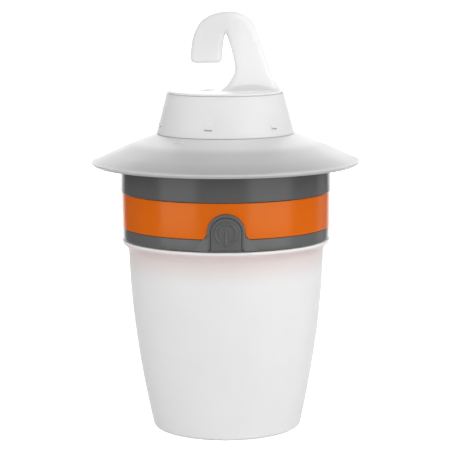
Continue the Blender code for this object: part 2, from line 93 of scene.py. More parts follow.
def calculate(tree, operation, *values):
    return add_node(tree, "ShaderNodeMath", *values, operation=operation).outputs[0]


def ramp(tree, value, low, high, to_low, to_high, smooth=False):
    """A value between low and high, turned into one between to_low and to_high."""
    return add_node(tree, "ShaderNodeMapRange", Value=value, From_Min=low, From_Max=high, To_Min=to_low,
                    To_Max=to_high, interpolation_type="SMOOTHSTEP" if smooth else "LINEAR").outputs[0]


print("tools: put_in_scene, add_node, calculate and ramp")

# %% [markdown]
# ## The camera
#
# A product picture is taken from far away with a long lens, so that a round collar
# hardly swells towards the viewer. The camera here stands 0.83 m from the axis, 8 degrees
# above the horizon, and leans a third of a degree, as a hand-set tripod does.

# %% Place the camera
CAMERA_TARGET_Z = 0.0892
CAMERA_DISTANCE = 0.828
CAMERA_ELEVATION = math.radians(8.2)
CAMERA_ROLL = math.radians(-0.33)
LENS = 149.1              # mm, like the sensor
SENSOR = 36

camera = put_in_scene("camera", bpy.data.cameras.new("camera"))
camera.data.lens = LENS
camera.data.sensor_width = SENSOR
back = Vector((0, -math.cos(CAMERA_ELEVATION), math.sin(CAMERA_ELEVATION)))
camera.location = Vector((0, 0, CAMERA_TARGET_Z)) + back * CAMERA_DISTANCE
facing = (-back).to_track_quat("-Z", "Y").to_matrix().to_4x4()
camera.rotation_euler = (facing @ Matrix.Rotation(CAMERA_ROLL, 4, "Z")).to_euler()
bpy.context.scene.camera = camera
print("the camera sees", round(SENSOR / LENS * CAMERA_DISTANCE / MM), "mm at the axis")

# %% [markdown]
# ## The studio
#
# Frosted white plastic on white needs care: lit evenly it would vanish. So two large
# soft boxes stand left and right of the camera, with a dark gap between them. The gap
# shows as the darker stripe down the middle of the glossy collar. A narrow panel behind
# on the right draws a bright rim. Four more panels only fill: they light the surfaces,
# but no gloss mirrors them. The world is white where the camera sees it, and dim for the
# other rays. Glossy surfaces that are seen at a grazing angle mirror a bright sheet
# behind the lantern.

# %% Lights, world and floor
def soft_box(name, azimuth, distance, height, size, power, mirrored=True):
    """An area light that faces the lantern; azimuth 0 is the camera's side, + to the right."""
    light = put_in_scene(name, bpy.data.lights.new(name, "AREA"))
    light.data.shape = "RECTANGLE"
    light.data.size, light.data.size_y = size
    light.data.energy = power
    angle = math.radians(azimuth)
    light.location = (distance * math.sin(angle), -distance * math.cos(angle), height)
    aim = Vector((0, 0, 0.10)) - light.location
    light.rotation_euler = aim.to_track_quat("-Z", "Y").to_euler()
    light.visible_camera = False
    light.visible_glossy = mirrored


soft_box("box_left", -53, 1.0, 0.32, (0.86, 1.0), 2.7)
soft_box("box_right", 49, 1.0, 0.32, (1.0, 1.0), 3.5)
soft_box("rim_right", 128, 1.0, 0.30, (0.35, 1.0), 0.4)
soft_box("front_fill", 12, 1.2, 0.28, (1.4, 0.5), 2.0, mirrored=False)
soft_box("high_right", 85, 0.9, 0.75, (0.7, 0.7), 2.5, mirrored=False)
soft_box("high_left", -85, 0.9, 0.75, (0.7, 0.7), 1.1, mirrored=False)
soft_box("back_fill", 180, 1.3, 0.4, (1.2, 0.8), 1.2, mirrored=False)


def sky_mix(factor, first, second):
    return add_node(sky, "ShaderNodeMix", Factor=factor, A=first, B=second).outputs["Result"]


world = bpy.data.worlds.new("studio")
bpy.context.scene.world = world
world.use_nodes = True
sky = world.node_tree
sky.nodes.clear()
direction = add_node(sky, "ShaderNodeTexCoord").outputs["Generated"]
across, away, up = add_node(sky, "ShaderNodeSeparateXYZ", direction).outputs
ray = add_node(sky, "ShaderNodeLightPath").outputs
diffuse_light = ramp(sky, up, 0.0, 0.9, 0.37, 0.60, smooth=True)
sheet_height = ramp(sky, away, 0.56, 0.90, 0.0, 1.0, smooth=True)
sheet_width = ramp(sky, calculate(sky, "ABSOLUTE", across), 0.32, 0.56, 1.0, 0.0, smooth=True)
sheet = calculate(sky, "MULTIPLY", sheet_height, sheet_width)
mirrored_light = sky_mix(sheet, 0.06, 1.9)
bounced = sky_mix(ray["Is Glossy Ray"], diffuse_light, mirrored_light)
backdrop = add_node(sky, "ShaderNodeBackground", Color=(1, 1, 1, 1),
                    Strength=sky_mix(ray["Is Camera Ray"], bounced, 1.0))
add_node(sky, "ShaderNodeOutputWorld", backdrop.outputs[0])

FLOOR_REACH = 12.0        # metres
floor_mesh = bpy.data.meshes.new("floor")
floor_mesh.from_pydata([(FLOOR_REACH * x, FLOOR_REACH * y, 0) for x, y in
                        ((-1, -1), (1, -1), (1, 1), (-1, 1))], [], [(0, 1, 2, 3)])
floor = put_in_scene("floor", floor_mesh)
pale = bpy.data.materials.new("pale_floor")
pale.use_nodes = True
pale_shader = pale.node_tree.nodes["Principled BSDF"]
pale_shader.inputs["Base Color"].default_value = (0.88, 0.88, 0.88, 1)
pale_shader.inputs["Roughness"].default_value = 0.9
pale_shader.inputs["Specular IOR Level"].default_value = 0.1
pale_shader.inputs["Emission Color"].default_value = (1, 1, 1, 1)
floor_seen = add_node(pale.node_tree, "ShaderNodeLightPath").outputs["Is Camera Ray"]
pale.node_tree.links.new(calculate(pale.node_tree, "MULTIPLY", floor_seen, 0.9),
                         pale_shader.inputs["Emission Strength"])
floor.data.materials.append(pale)
floor.visible_glossy = False
bpy.context.scene.view_settings.view_transform = "Standard"

# %% [markdown]
# ## Tools for turned pieces
#
# Most of the lantern was cut on a lathe before it was a mould: the cup, the rings, the
# brim and the cone are all one outline spun about the axis. A real moulding has no
# knife-sharp corner, so each corner of an outline here is a triple: radius, height, and
# how round the corner is. Points on a curved wall have a rounding of zero.

# %% Turning and finishing
SIDES = 192
ON_AXIS = 1e-6
SHARP_ANGLE = math.radians(40)


def round_corners(corners, closed, steps=5):
    """Replace each (radius, height, rounding) corner with an arc that touches both sides."""
    count = len(corners)
    path = []
    for index, (x, z, rounding) in enumerate(corners):
        at = Vector((x, z))
        if rounding == 0 or (not closed and index in (0, count - 1)):
            path.append((x, z))
            continue
        before = Vector(corners[index - 1][:2]) - at
        after = Vector(corners[(index + 1) % count][:2]) - at
        half = before.angle(after) / 2
        reach = min(rounding / math.tan(half), 0.48 * before.length, 0.48 * after.length)
        start, end = at + before.normalized() * reach, at + after.normalized() * reach
        for step in range(steps + 1):
            t = step / steps
            path.append(tuple((1 - t) ** 2 * start + 2 * t * (1 - t) * at + t ** 2 * end))
    return path


def shade(mesh, sharp_angle=SHARP_ANGLE):
    mesh.shade_smooth()
    mesh.set_sharp_from_angle(angle=sharp_angle)


def object_from(name, bm, sharp_angle=SHARP_ANGLE):
    bmesh.ops.recalc_face_normals(bm, faces=bm.faces)
    mesh = bpy.data.meshes.new(name)
    bm.to_mesh(mesh)
    bm.free()
    shade(mesh, sharp_angle)
    return put_in_scene(name, mesh)


def bridge(bm, rings):
    """Faces between each ring of points and the next; doubled points leave triangles."""
    for ring, after in zip(rings, rings[1:]):
        for k in range(len(ring)):
            n = (k + 1) % len(ring)
            bm.faces.new(list(dict.fromkeys((ring[k], ring[n], after[n], after[k]))))


def turn_on_lathe(name, corners, sides=SIDES):
    """Spin an outline about Z. One that starts and ends on the axis is closed by its poles."""
    closed = corners[0][0] > 0
    bm = bmesh.new()
    rings = []
    for radius, height in round_corners(corners, closed):
        if radius < ON_AXIS:
            rings.append([bm.verts.new((0, 0, height * MM))] * sides)
            continue
        rings.append([bm.verts.new((radius * MM * math.cos(math.tau * k / sides),
                                    radius * MM * math.sin(math.tau * k / sides), height * MM))
                      for k in range(sides)])
    bridge(bm, rings + rings[:1] if closed else rings)
    return object_from(name, bm)


def soft_block(name, size, rounding=0.0, place=Matrix()):
    """A box, moved by a matrix; its edges are rounded if asked."""
    bm = bmesh.new()
    bmesh.ops.create_cube(bm, size=1.0, matrix=place @ Matrix.Diagonal((*(Vector(size) * MM), 1)))
    if rounding:
        bmesh.ops.bevel(bm, geom=list(bm.edges), offset=rounding * MM, segments=2, affect="EDGES",
                        profile=0.5)
    return object_from(name, bm)


def combine(obj, other, operation):
    """Boolean the other object into obj and throw the other one away."""
    modifier = obj.modifiers.new("combine", "BOOLEAN")
    modifier.operation = operation
    modifier.object = other
    settle(obj)
    bpy.data.objects.remove(other, do_unlink=True)
    return obj


def settle(obj):
    """Turn what the modifiers make into the object's own mesh."""
    evaluated = obj.evaluated_get(bpy.context.evaluated_depsgraph_get())
    mesh = bpy.data.meshes.new_from_object(evaluated)
    obj.modifiers.clear()
    obj.data = mesh
    shade(mesh)


def add(obj, other):
    return combine(obj, other, "UNION")


def cut(obj, other):
    return combine(obj, other, "DIFFERENCE")


def post(radius, low, high, x, y, sides=32):
    """A plain turned post that stands away from the axis."""
    rod = turn_on_lathe("post", [(0, low, 0), (radius, low, 0.2), (radius, high, 0.2), (0, high, 0)], sides)
    rod.data.transform(Matrix.Translation((x * MM, y * MM, 0)))
    return rod


def on_circle(radius, first):
    """Three places, a third of a turn apart."""
    for k in range(3):
        angle = math.radians(first) + math.tau * k / 3
        yield radius * math.cos(angle), radius * math.sin(angle)


def triangles(obj):
    return sum(len(face.vertices) - 2 for face in obj.data.polygons)


def fit(obj, body, slot, material, *nodes):
    """Give a finished piece its material and its body, and hide the working pieces it stands for."""
    obj.data.materials.clear()
    obj.data.materials.append(material)
    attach(obj, body)
    if nodes:
        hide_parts(*nodes)
    print(f"{obj.name}: {triangles(obj)} triangles, rides on {body}")
    return obj


# %% [markdown]
# ## Shared finishes
#
# A mould is spark-eroded, which leaves a fine even grain, and plastic never fills it
# quite evenly. One node group holds both effects: a grain for the bump and a slow cloud
# that shifts colour and roughness a little. A second group holds what handling does:
# hairline scuffs that run in all directions. Each material places them with its own sizes.

# %% Node groups for moulded skin and scuffs
def shader_group(name, outputs, **numbers):
    """An empty group that takes a vector and the given numbers, each with its default."""
    tree = bpy.data.node_groups.new(name, "ShaderNodeTree")
    tree.interface.new_socket("Vector", in_out="INPUT", socket_type="NodeSocketVector")
    for label, value in numbers.items():
        socket = tree.interface.new_socket(label, in_out="INPUT", socket_type="NodeSocketFloat")
        socket.default_value = value
    for label in outputs:
        tree.interface.new_socket(label, in_out="OUTPUT", socket_type="NodeSocketFloat")
    return tree, tree.nodes.new("NodeGroupInput").outputs, tree.nodes.new("NodeGroupOutput").inputs


skin_group, given, result = shader_group("moulded_skin", ["Grain", "Cloud"], Grain=2600.0, Cloud=45.0)
for label, detail, roughness in (("Grain", 3.0, 0.6), ("Cloud", 2.0, 0.5)):
    noise = add_node(skin_group, "ShaderNodeTexNoise", Vector=given["Vector"], Scale=given[label],
                     Detail=detail, Roughness=roughness)
    skin_group.links.new(noise.outputs["Fac"], result[label])

scuff_group, given, result = shader_group("handling_scuffs", ["Scuff"], Size=2400.0, Amount=0.5)
total = 0.0
for turn in (0.4, 1.5, 2.6):
    # a TEXTURE mapping turns first and stretches afterwards
    stretched = add_node(scuff_group, "ShaderNodeMapping", Vector=given["Vector"], vector_type="TEXTURE",
                         Rotation=(turn, 0.7 * turn, 1.3 * turn), Scale=(1.0, 30.0, 1.0)).outputs[0]
    streak = add_node(scuff_group, "ShaderNodeTexNoise", Vector=stretched, Scale=given["Size"], Detail=1.0)
    narrow = ramp(scuff_group, streak.outputs["Fac"], 0.68, 0.74, 0.0, 1.0)
    total = calculate(scuff_group, "MAXIMUM", total, narrow)
scuff_group.links.new(calculate(scuff_group, "MULTIPLY", total, given["Amount"]), result["Scuff"])
print("finishes: moulded_skin and handling_scuffs")

# %% [markdown]
# ## The plastics
#
# All mouldings share one recipe. The cloud moves the colour towards a slightly deeper
# tone, the scuffs and the cloud move the roughness, and the grain is a bump of about a
# hundredth of a millimetre. What differs is the colour, the gloss, and how much light
# goes into the plastic: the frosted pieces let it in, so they take some subsurface.

# %% One recipe for every moulded plastic
def new_material(name):
    material = bpy.data.materials.new(name)
    material.use_nodes = True
    tree = material.node_tree
    place = add_node(tree, "ShaderNodeTexCoord").outputs["Object"]
    return material, tree, tree.nodes["Principled BSDF"], place


def reopen(material):
    """The tree, shader and place of a material, and the colour it has so far."""
    tree = material.node_tree
    shader = tree.nodes["Principled BSDF"]
    return (tree, shader, tree.nodes["Texture Coordinate"].outputs["Object"],
            shader.inputs["Base Color"].links[0].from_socket)


def blend_colours(tree, factor, first, second, mode="MIX"):
    """A colour mix whose two colours are either fixed or come from another node."""
    mix = add_node(tree, "ShaderNodeMix", data_type="RGBA", blend_type=mode, Factor=factor)
    for socket, colour in (("A", first), ("B", second)):
        place = [s for s in mix.inputs if s.name == socket and s.type == "RGBA"][0]
        if isinstance(colour, tuple):
            place.default_value = (*colour, 1)
        else:
            tree.links.new(colour, place)
    return [s for s in mix.outputs if s.type == "RGBA"][0]


def add_group(tree, group, vector, **values):
    return add_node(tree, "ShaderNodeGroup", node_tree=group, Vector=vector, **values).outputs


def add_bump(tree, shader, height, depth_mm):
    bump = add_node(tree, "ShaderNodeBump", Strength=1.0, Distance=depth_mm * MM, Height=height)
    tree.links.new(bump.outputs[0], shader.inputs["Normal"])


GLOW_DEPTH = 3.0


def moulded(name, colour, deeper, gloss, depth_mm=0.02, scuffs=0.5, shine=0.5, glow=0.0):
    """A moulded plastic: gloss is its roughness range, glow its subsurface."""
    material, tree, shader, place = new_material(name)
    skin = add_group(tree, skin_group, place)
    marks = add_group(tree, scuff_group, place, Amount=scuffs)
    cloud = ramp(tree, skin["Cloud"], 0.2, 0.8, 0.0, 1.0, smooth=True)
    tree.links.new(blend_colours(tree, cloud, colour, deeper), shader.inputs["Base Color"])
    dullness = calculate(tree, "MAXIMUM", cloud, marks["Scuff"])
    tree.links.new(ramp(tree, dullness, 0.0, 1.0, *gloss), shader.inputs["Roughness"])
    add_bump(tree, shader, skin["Grain"], depth_mm)
    shader.inputs["Specular IOR Level"].default_value = shine
    shader.inputs["Subsurface Weight"].default_value = glow
    shader.inputs["Subsurface Radius"].default_value = (1.0, 0.95, 0.9)
    shader.inputs["Subsurface Scale"].default_value = GLOW_DEPTH * MM
    return material


orange_plastic = moulded("orange_plastic", (0.74, 0.135, 0.001), (0.71, 0.126, 0.001),
                         (0.19, 0.25), depth_mm=0.008, shine=0.65)
orange_shader = orange_plastic.node_tree.nodes["Principled BSDF"]
orange_shader.inputs["Specular Tint"].default_value = (1.0, 0.85, 0.5, 1)
grey_plastic = moulded("grey_plastic", (0.108, 0.109, 0.110), (0.100, 0.101, 0.102),
                       (0.19, 0.25), depth_mm=0.008)
# A lighter copy of the same grey for the lower ring and the button: painted light.
grey_with_painted_light = moulded("grey_with_painted_light", (0.126, 0.127, 0.128), (0.117, 0.118, 0.119),
                      (0.19, 0.25), depth_mm=0.008)
white_frost = moulded("white_frost", (0.83, 0.83, 0.83), (0.805, 0.805, 0.805), (0.30, 0.40),
                      depth_mm=0.015, scuffs=0.3, glow=0.4)
white_plastic = moulded("white_plastic", (0.80, 0.80, 0.79), (0.76, 0.76, 0.75), (0.35, 0.5))
black_plastic = moulded("black_plastic", (0.018, 0.018, 0.019), (0.012, 0.012, 0.013), (0.35, 0.5))
red_plastic = moulded("red_plastic", (0.50, 0.015, 0.012), (0.44, 0.012, 0.01), (0.3, 0.4))
seal_rubber = moulded("seal_rubber", (0.022, 0.022, 0.023), (0.015, 0.015, 0.016), (0.6, 0.75),
                      depth_mm=0.03)
print("plastics:", [m.name for m in bpy.data.materials if m.use_nodes])

# %% [markdown]
# ## The cup's plastic
#
# The cup is the same frosted white, with a soft pink band under its mouth that fades
# downwards, where the orange spigot just inside the mouth and the grey ring above shade
# it. Light through a wall is costly to trace, so the band is painted shade and tint: a
# gradient over height.

# %% Frosted cup material
def frosted_cup_with_painted_shade(mouth_z, fade):
    material = moulded("cup_frost", (0.89, 0.885, 0.88), (0.865, 0.86, 0.855), (0.42, 0.52),
                       depth_mm=0.02, scuffs=0.3, glow=0.5)
    tree, shader, place, base = reopen(material)
    height = add_node(tree, "ShaderNodeSeparateXYZ", place).outputs["Z"]
    rise = ramp(tree, height, mouth_z - fade, mouth_z - 2 * MM, 0.0, 1.0, smooth=True)
    fall = ramp(tree, height, mouth_z - 1.5 * MM, mouth_z - 0.5 * MM, 1.0, 0.0, smooth=True)
    # painted shade: a pinkish darkening over the top of the cup, fading out just below the lip
    band = calculate(tree, "MULTIPLY", rise, fall)
    tree.links.new(blend_colours(tree, band, base, (0.77, 0.665, 0.65)), shader.inputs["Base Color"])
    return material


cup_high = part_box("diffuser")[1]
PAINTED_SHADE_BAND = 17
cup_frost_with_painted_shade = frosted_cup_with_painted_shade(cup_high.z, PAINTED_SHADE_BAND * MM)
print("the pink band fades over the top", PAINTED_SHADE_BAND, "mm of the cup")

# %% [markdown]
# ## The cup
#
# The wall flares quickly at the foot and straightens towards the mouth, by one power
# law. It could be drawn point by point, but a rule with four numbers is easier to tune.
# So the lathe turns a plain straight cup first, and a small Geometry Nodes tree then
# pulls every point inwards by the rule: pull = (mouth - base) x (1 - height / neck) ^ flare.

# %% A tree that gives a straight cup its flare
def geometry_tree(name, **inputs):
    """An empty tree with a Geometry input and output and the named inputs."""
    tree = bpy.data.node_groups.new(name, "GeometryNodeTree")
    tree.interface.new_socket("Geometry", in_out="INPUT", socket_type="NodeSocketGeometry")
    for label, kind in inputs.items():
        tree.interface.new_socket(label.replace("_", " "), in_out="INPUT", socket_type="NodeSocket" + kind)
    tree.interface.new_socket("Geometry", in_out="OUTPUT", socket_type="NodeSocketGeometry")
    return tree, tree.nodes.new("NodeGroupInput").outputs, partial(calculate, tree)


def end_tree(tree, given, geometry):
    """Realize Instances, then Set Material, then the group's output."""
    real = add_node(tree, "GeometryNodeRealizeInstances", geometry)
    finish = add_node(tree, "GeometryNodeSetMaterial", Geometry=real.outputs[0], Material=given["Material"])
    add_node(tree, "NodeGroupOutput", finish.outputs[0])
    return tree


def flare_tree():
    tree, given, do = geometry_tree("flare_by_height", Mouth_Radius="Float", Base_Radius="Float",
                                    Neck_Height="Float", Flare="Float", Material="Material")
    place = add_node(tree, "GeometryNodeInputPosition").outputs[0]
    x, y, z = add_node(tree, "ShaderNodeSeparateXYZ", place).outputs
    radius = do("SQRT", do("ADD", do("MULTIPLY", x, x), do("MULTIPLY", y, y)))
    left = do("MAXIMUM", do("SUBTRACT", 1.0, do("DIVIDE", z, given["Neck Height"])), 0.0)
    narrowing = do("SUBTRACT", given["Mouth Radius"], given["Base Radius"])
    pull = do("MULTIPLY", narrowing, do("POWER", left, given["Flare"]))
    inside = do("MINIMUM", do("DIVIDE", radius, given["Base Radius"]), 1.0)
    factor = do("DIVIDE", do("SUBTRACT", radius, do("MULTIPLY", pull, inside)), radius)
    moved = add_node(tree, "ShaderNodeCombineXYZ", do("MULTIPLY", x, factor), do("MULTIPLY", y, factor), z)
    shift = add_node(tree, "GeometryNodeSetPosition", Geometry=given["Geometry"], Position=moved.outputs[0])
    return end_tree(tree, given, shift.outputs[0])


def run_tree(obj, tree, **values):
    """Run a tree on obj with the named inputs, and keep the result as its mesh."""
    modifier = obj.modifiers.new(tree.name, "NODES")
    modifier.node_group = tree
    for label, value in values.items():
        socket = tree.interface.items_tree[label.replace("_", " ")]
        modifier[socket.identifier] = value
    settle(obj)
    return obj


flare = flare_tree()
print("flare_by_height takes", [item.name for item in flare.interface.items_tree])

# %% Turn the cup straight, then flare it
CUP_BASE_R = 32.6
CUP_MOUTH_R = 42.95
CUP_NECK_Z = 80.9
CUP_WALL = 1.6
CUP_FLOOR = 1.8
CUP_FLARE = 1.75
lip_r = cup_high.x / MM
cup_top = cup_high.z / MM
widen = CUP_MOUTH_R - CUP_BASE_R          # what the flare takes off at the foot

wall_heights = np.linspace(1.6, 78.4, 44)
corner_r = 1.4
foot_ring = [(0, 0.5, 0), (widen + 24.6, 0.5, 0.4), (widen + 25.4, 0, 0.3)]
corner = [(CUP_MOUTH_R - corner_r * (1 - math.sin(a)), corner_r * (1 - math.cos(a)), 0)
          for a in np.linspace(0.0, 1.5, 9)]
outside = [(CUP_MOUTH_R, z, 0) for z in wall_heights]
lip = [(CUP_MOUTH_R + 0.15, 79.8, 0.8), (CUP_MOUTH_R + 0.8, 81.3, 1.2), (lip_r - 0.5, 82.5, 0.8),
       (lip_r, 83.1, 0.5), (lip_r, cup_top, 0.45), (CUP_MOUTH_R - CUP_WALL, cup_top, 0.3)]
inside = [(CUP_MOUTH_R - CUP_WALL, z, 0) for z in reversed(wall_heights[3:])]
bottom = [(CUP_MOUTH_R - CUP_WALL, CUP_FLOOR, 3.0), (0, CUP_FLOOR, 0)]
cup = turn_on_lathe("cup", foot_ring + corner + outside + lip + inside + bottom)
run_tree(cup, flare, Mouth_Radius=CUP_MOUTH_R * MM, Base_Radius=CUP_BASE_R * MM,
         Neck_Height=CUP_NECK_Z * MM, Flare=CUP_FLARE, Material=cup_frost_with_painted_shade)
fit(cup, "base", "frosted_plastic", cup_frost_with_painted_shade, "diffuser")

# %% [markdown]
# ## The brim
#
# A thin shallow cone with a little crown, a rolled edge, and a neck in the middle that
# the battery cover closes on. Light and shade under the thin wall are painted: a colour
# ramp over the distance from the axis keeps it light over the hollow deck and at the
# rolled edge, and darkens it in a ring over the collar's dark wall and the shade beside
# it. A small raised dash on the brim shows where the battery cover's grip has to point.

# %% A finish with painted shade in a ring, and the brim
def brim_frost_with_painted_shade(shade_tones):
    """White frost with painted light and shade by radius: the tones are (millimetres, brightness) pairs."""
    material = moulded("brim_frost", (0.90, 0.90, 0.90), (0.87, 0.87, 0.87), (0.29, 0.37),
                       depth_mm=0.015, scuffs=0.3, shine=1.0, glow=0.4)
    tree, shader, place, base = reopen(material)
    flat = add_node(tree, "ShaderNodeVectorMath", place, (1, 1, 0), operation="MULTIPLY").outputs[0]
    radius = add_node(tree, "ShaderNodeVectorMath", flat, operation="LENGTH").outputs["Value"]
    first, last = shade_tones[0][0], shade_tones[-1][0]
    painted_shade_ramp = add_node(tree, "ShaderNodeValToRGB", ramp(tree, radius, first * MM, last * MM, 0, 1))
    painted_shade_ramp.color_ramp.interpolation = "EASE"
    stops = painted_shade_ramp.color_ramp.elements
    while len(stops) < len(shade_tones):
        stops.new(0.5)
    for stop, (at, tone) in zip(stops, shade_tones):
        stop.position = (at - first) / (last - first)
        stop.color = (tone, tone, tone, 1)
    painted_shade_colour = blend_colours(tree, 1.0, base, painted_shade_ramp.outputs[0], "MULTIPLY")
    tree.links.new(painted_shade_colour, shader.inputs["Base Color"])
    return material


brim_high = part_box("brim")[1]
cover_low, cover_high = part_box("head_cover")
BRIM_R = brim_high.x / MM
BRIM_EDGE_Z = 118.2
BRIM_WALL = 1.8
NECK_R = 25.6
COVER_SEAL_Z = 133.5
DASH_R = 34.5
DASH_ANGLE = -125         # about the axis; the front is at -90
BOSS_R, BOSS_TOP_Z = 3.0, 121.9
CASE_SCREW_R, BRIM_SCREW_R = 33.0, 37.0
neck_top = brim_high.z / MM
cone_foot_r = 30.3
seat_z = cover_low.z / MM - 0.42


def brim_height(radius):
    along = (BRIM_R - radius) / (BRIM_R - cone_foot_r)
    return BRIM_EDGE_Z + (seat_z - BRIM_EDGE_Z) * along + 0.5 * math.sin(math.pi * along)


radii = np.linspace(cone_foot_r + 0.8, BRIM_R - 1.2, 26)
edge = 0.45
upper = [(cone_foot_r, seat_z, 0.15)] + [(r, brim_height(r), 0) for r in radii]
rolled = [(BRIM_R - edge + edge * math.cos(a), BRIM_EDGE_Z + edge * math.sin(a), 0)
          for a in np.linspace(1.1, -1.75, 12)]
under = [(r, brim_height(r) - BRIM_WALL, 0) for r in reversed(radii[4:])]
neck = [(NECK_R + 1.6, seat_z - 3.0, 0.6), (NECK_R - 1.8, seat_z - 4.2, 0.6),
        (NECK_R - 1.8, neck_top, 0.5), (NECK_R, neck_top, 0.5), (NECK_R, seat_z, 0.3)]
brim = turn_on_lathe("brim_shade", upper + rolled + under + neck)
boss_foot = brim_height(40) - 1
for turn in (30, 150, 270):
    boss = turn_on_lathe("boss", [(0, BOSS_TOP_Z, 0), (BOSS_R, BOSS_TOP_Z, 0.2), (BOSS_R, boss_foot, 0),
                                  (0, boss_foot, 0)], 32)
    boss.data.transform(Matrix.Rotation(math.radians(turn), 4, "Z")
                        @ Matrix.Translation((BRIM_SCREW_R * MM, 0, 0)))
    add(brim, boss)
dash_place = (Matrix.Rotation(math.radians(DASH_ANGLE), 4, "Z")
              @ Matrix.Translation((DASH_R * MM, 0, (brim_height(DASH_R) + 0.05) * MM))
              @ Matrix.Rotation(0.40, 4, "Y"))
add(brim, soft_block("dash", (0.9, 4.6, 0.7), 0.2, dash_place))
# painted shade: darker in a ring over the collar and under the overhang, lighter over the deck and at the
# rolled edge
brim_painted_shade_tones = [(37.5, 0.80), (44.0, 0.62), (50.0, 0.61), (53.0, 0.565), (57.8, 0.51), (58.8, 0.62)]
fit(brim, "base", "frosted_plastic", brim_frost_with_painted_shade(brim_painted_shade_tones), "brim")

# %% [markdown]
# ## The cone
#
# The battery cover is a cone with a recess on top for the hook's lid. Six small wedges
# near its foot give the fingers a grip, and a thin slot is cut under each. They repeat,
# so Geometry Nodes place them: one is modelled, and the tree copies it round the axis and
# makes the copies real.

# %% A tree that repeats a piece round the axis
def ring_tree():
    tree, given, do = geometry_tree("ring_of_copies", Count="Int", Radius="Float", Height="Float",
                                    First_Angle="Float", Material="Material")
    index = add_node(tree, "GeometryNodeInputIndex").outputs[0]
    step = do("DIVIDE", math.tau, given["Count"])
    angle = do("ADD", do("MULTIPLY", index, step), given["First Angle"])
    place = add_node(tree, "ShaderNodeCombineXYZ", do("MULTIPLY", do("COSINE", angle), given["Radius"]),
                     do("MULTIPLY", do("SINE", angle), given["Radius"]), given["Height"])
    points = add_node(tree, "GeometryNodePoints", Count=given["Count"], Position=place.outputs[0])
    turn = add_node(tree, "ShaderNodeCombineXYZ", Z=angle)
    rotation = add_node(tree, "FunctionNodeEulerToRotation", turn.outputs[0])
    copies = add_node(tree, "GeometryNodeInstanceOnPoints", Points=points.outputs[0],
                      Instance=given["Geometry"], Rotation=rotation.outputs[0])
    return end_tree(tree, given, copies.outputs[0])


def set_round(obj, count, radius, height, first_degrees, material):
    """Copy a piece round the axis."""
    return run_tree(obj, ring, Count=count, Radius=radius * MM, Height=height * MM,
                    First_Angle=math.radians(first_degrees), Material=material)


ring = ring_tree()
print("ring_of_copies takes", [item.name for item in ring.interface.items_tree])

# %% Turn the cone and set its grip wedges
CONE_TOP_R = 25.75
COVER_WALL = 1.8
PLATE_Z, PLATE_TOP_Z = 142.0, 144.4
HOOK_SCREW_R = 18.4
cone_foot, cone_top = seat_z + 0.12, cover_high.z / MM + 0.3


def cone_radius(z):
    return cone_foot_r + (CONE_TOP_R - cone_foot_r) * (z - cone_foot) / (cone_top - cone_foot)


recess_r = CONE_TOP_R - 1.8
cone = turn_on_lathe("cone_cover", [
    (0, PLATE_TOP_Z, 0), (recess_r, PLATE_TOP_Z, 0.3), (recess_r, cone_top, 0.3),
    (CONE_TOP_R, cone_top, 0.30), (cone_foot_r, cone_foot, 0.22),
    (cone_foot_r - COVER_WALL, cone_foot, 0.3), (cone_radius(PLATE_Z) - COVER_WALL, PLATE_Z, 1.2),
    (0, PLATE_Z, 0)])


def grip_wedge(width, height, proud, lean):
    """A small ramp: proud at its foot, flush with the cone at its top, edges rounded."""
    bm = bmesh.new()
    sunk = 0.8
    side = [(-sunk, 0), (proud, 0), (0.05, height), (-sunk, height)]
    for y in (-width / 2, width / 2):
        for x, z in side:
            bm.verts.new((x * MM, y * MM, z * MM))
    bm.verts.ensure_lookup_table()
    left, right = list(bm.verts)[:4], list(bm.verts)[4:]
    bm.faces.new(left)
    bm.faces.new(right[::-1])
    bridge(bm, [left, right])
    front = [e for e in bm.edges if all(v.co.x > 0 for v in e.verts)]
    bmesh.ops.bevel(bm, geom=front, offset=0.16 * MM, segments=3, affect="EDGES", profile=0.5)
    bmesh.ops.rotate(bm, verts=bm.verts, matrix=Matrix.Rotation(-lean, 3, "Y"))
    return object_from("grip_wedges", bm)


WEDGE_Z = 134.4
FIRST_WEDGE = -104.5      # degrees about the axis
cone_lean = math.atan2(cone_foot_r - CONE_TOP_R, cone_top - cone_foot)
slots = soft_block("slots", (2.0, 3.3, 0.5))
cut(cone, set_round(slots, 6, cone_radius(WEDGE_Z), WEDGE_Z - 0.3, FIRST_WEDGE, white_frost))
for x, y in on_circle(HOOK_SCREW_R, 90):
    cut(cone, post(1.5, PLATE_Z - 1, PLATE_TOP_Z + 1, x, y))
wedges = grip_wedge(3.6, 3.0, 0.2, cone_lean)
add(cone, set_round(wedges, 6, cone_radius(WEDGE_Z), WEDGE_Z, FIRST_WEDGE, white_frost))
fit(cone, "head", "frosted_plastic", white_frost, "head_cover")

# %% [markdown]
# ## The hook
#
# The hook and the lid under it are one moulding. Its shape is a loft: pairs of points,
# one on the outside of the bend and one on the inside, each carry a section with round
# corners. The shank grows deeper towards its foot and ends in a soft fillet on the lid.

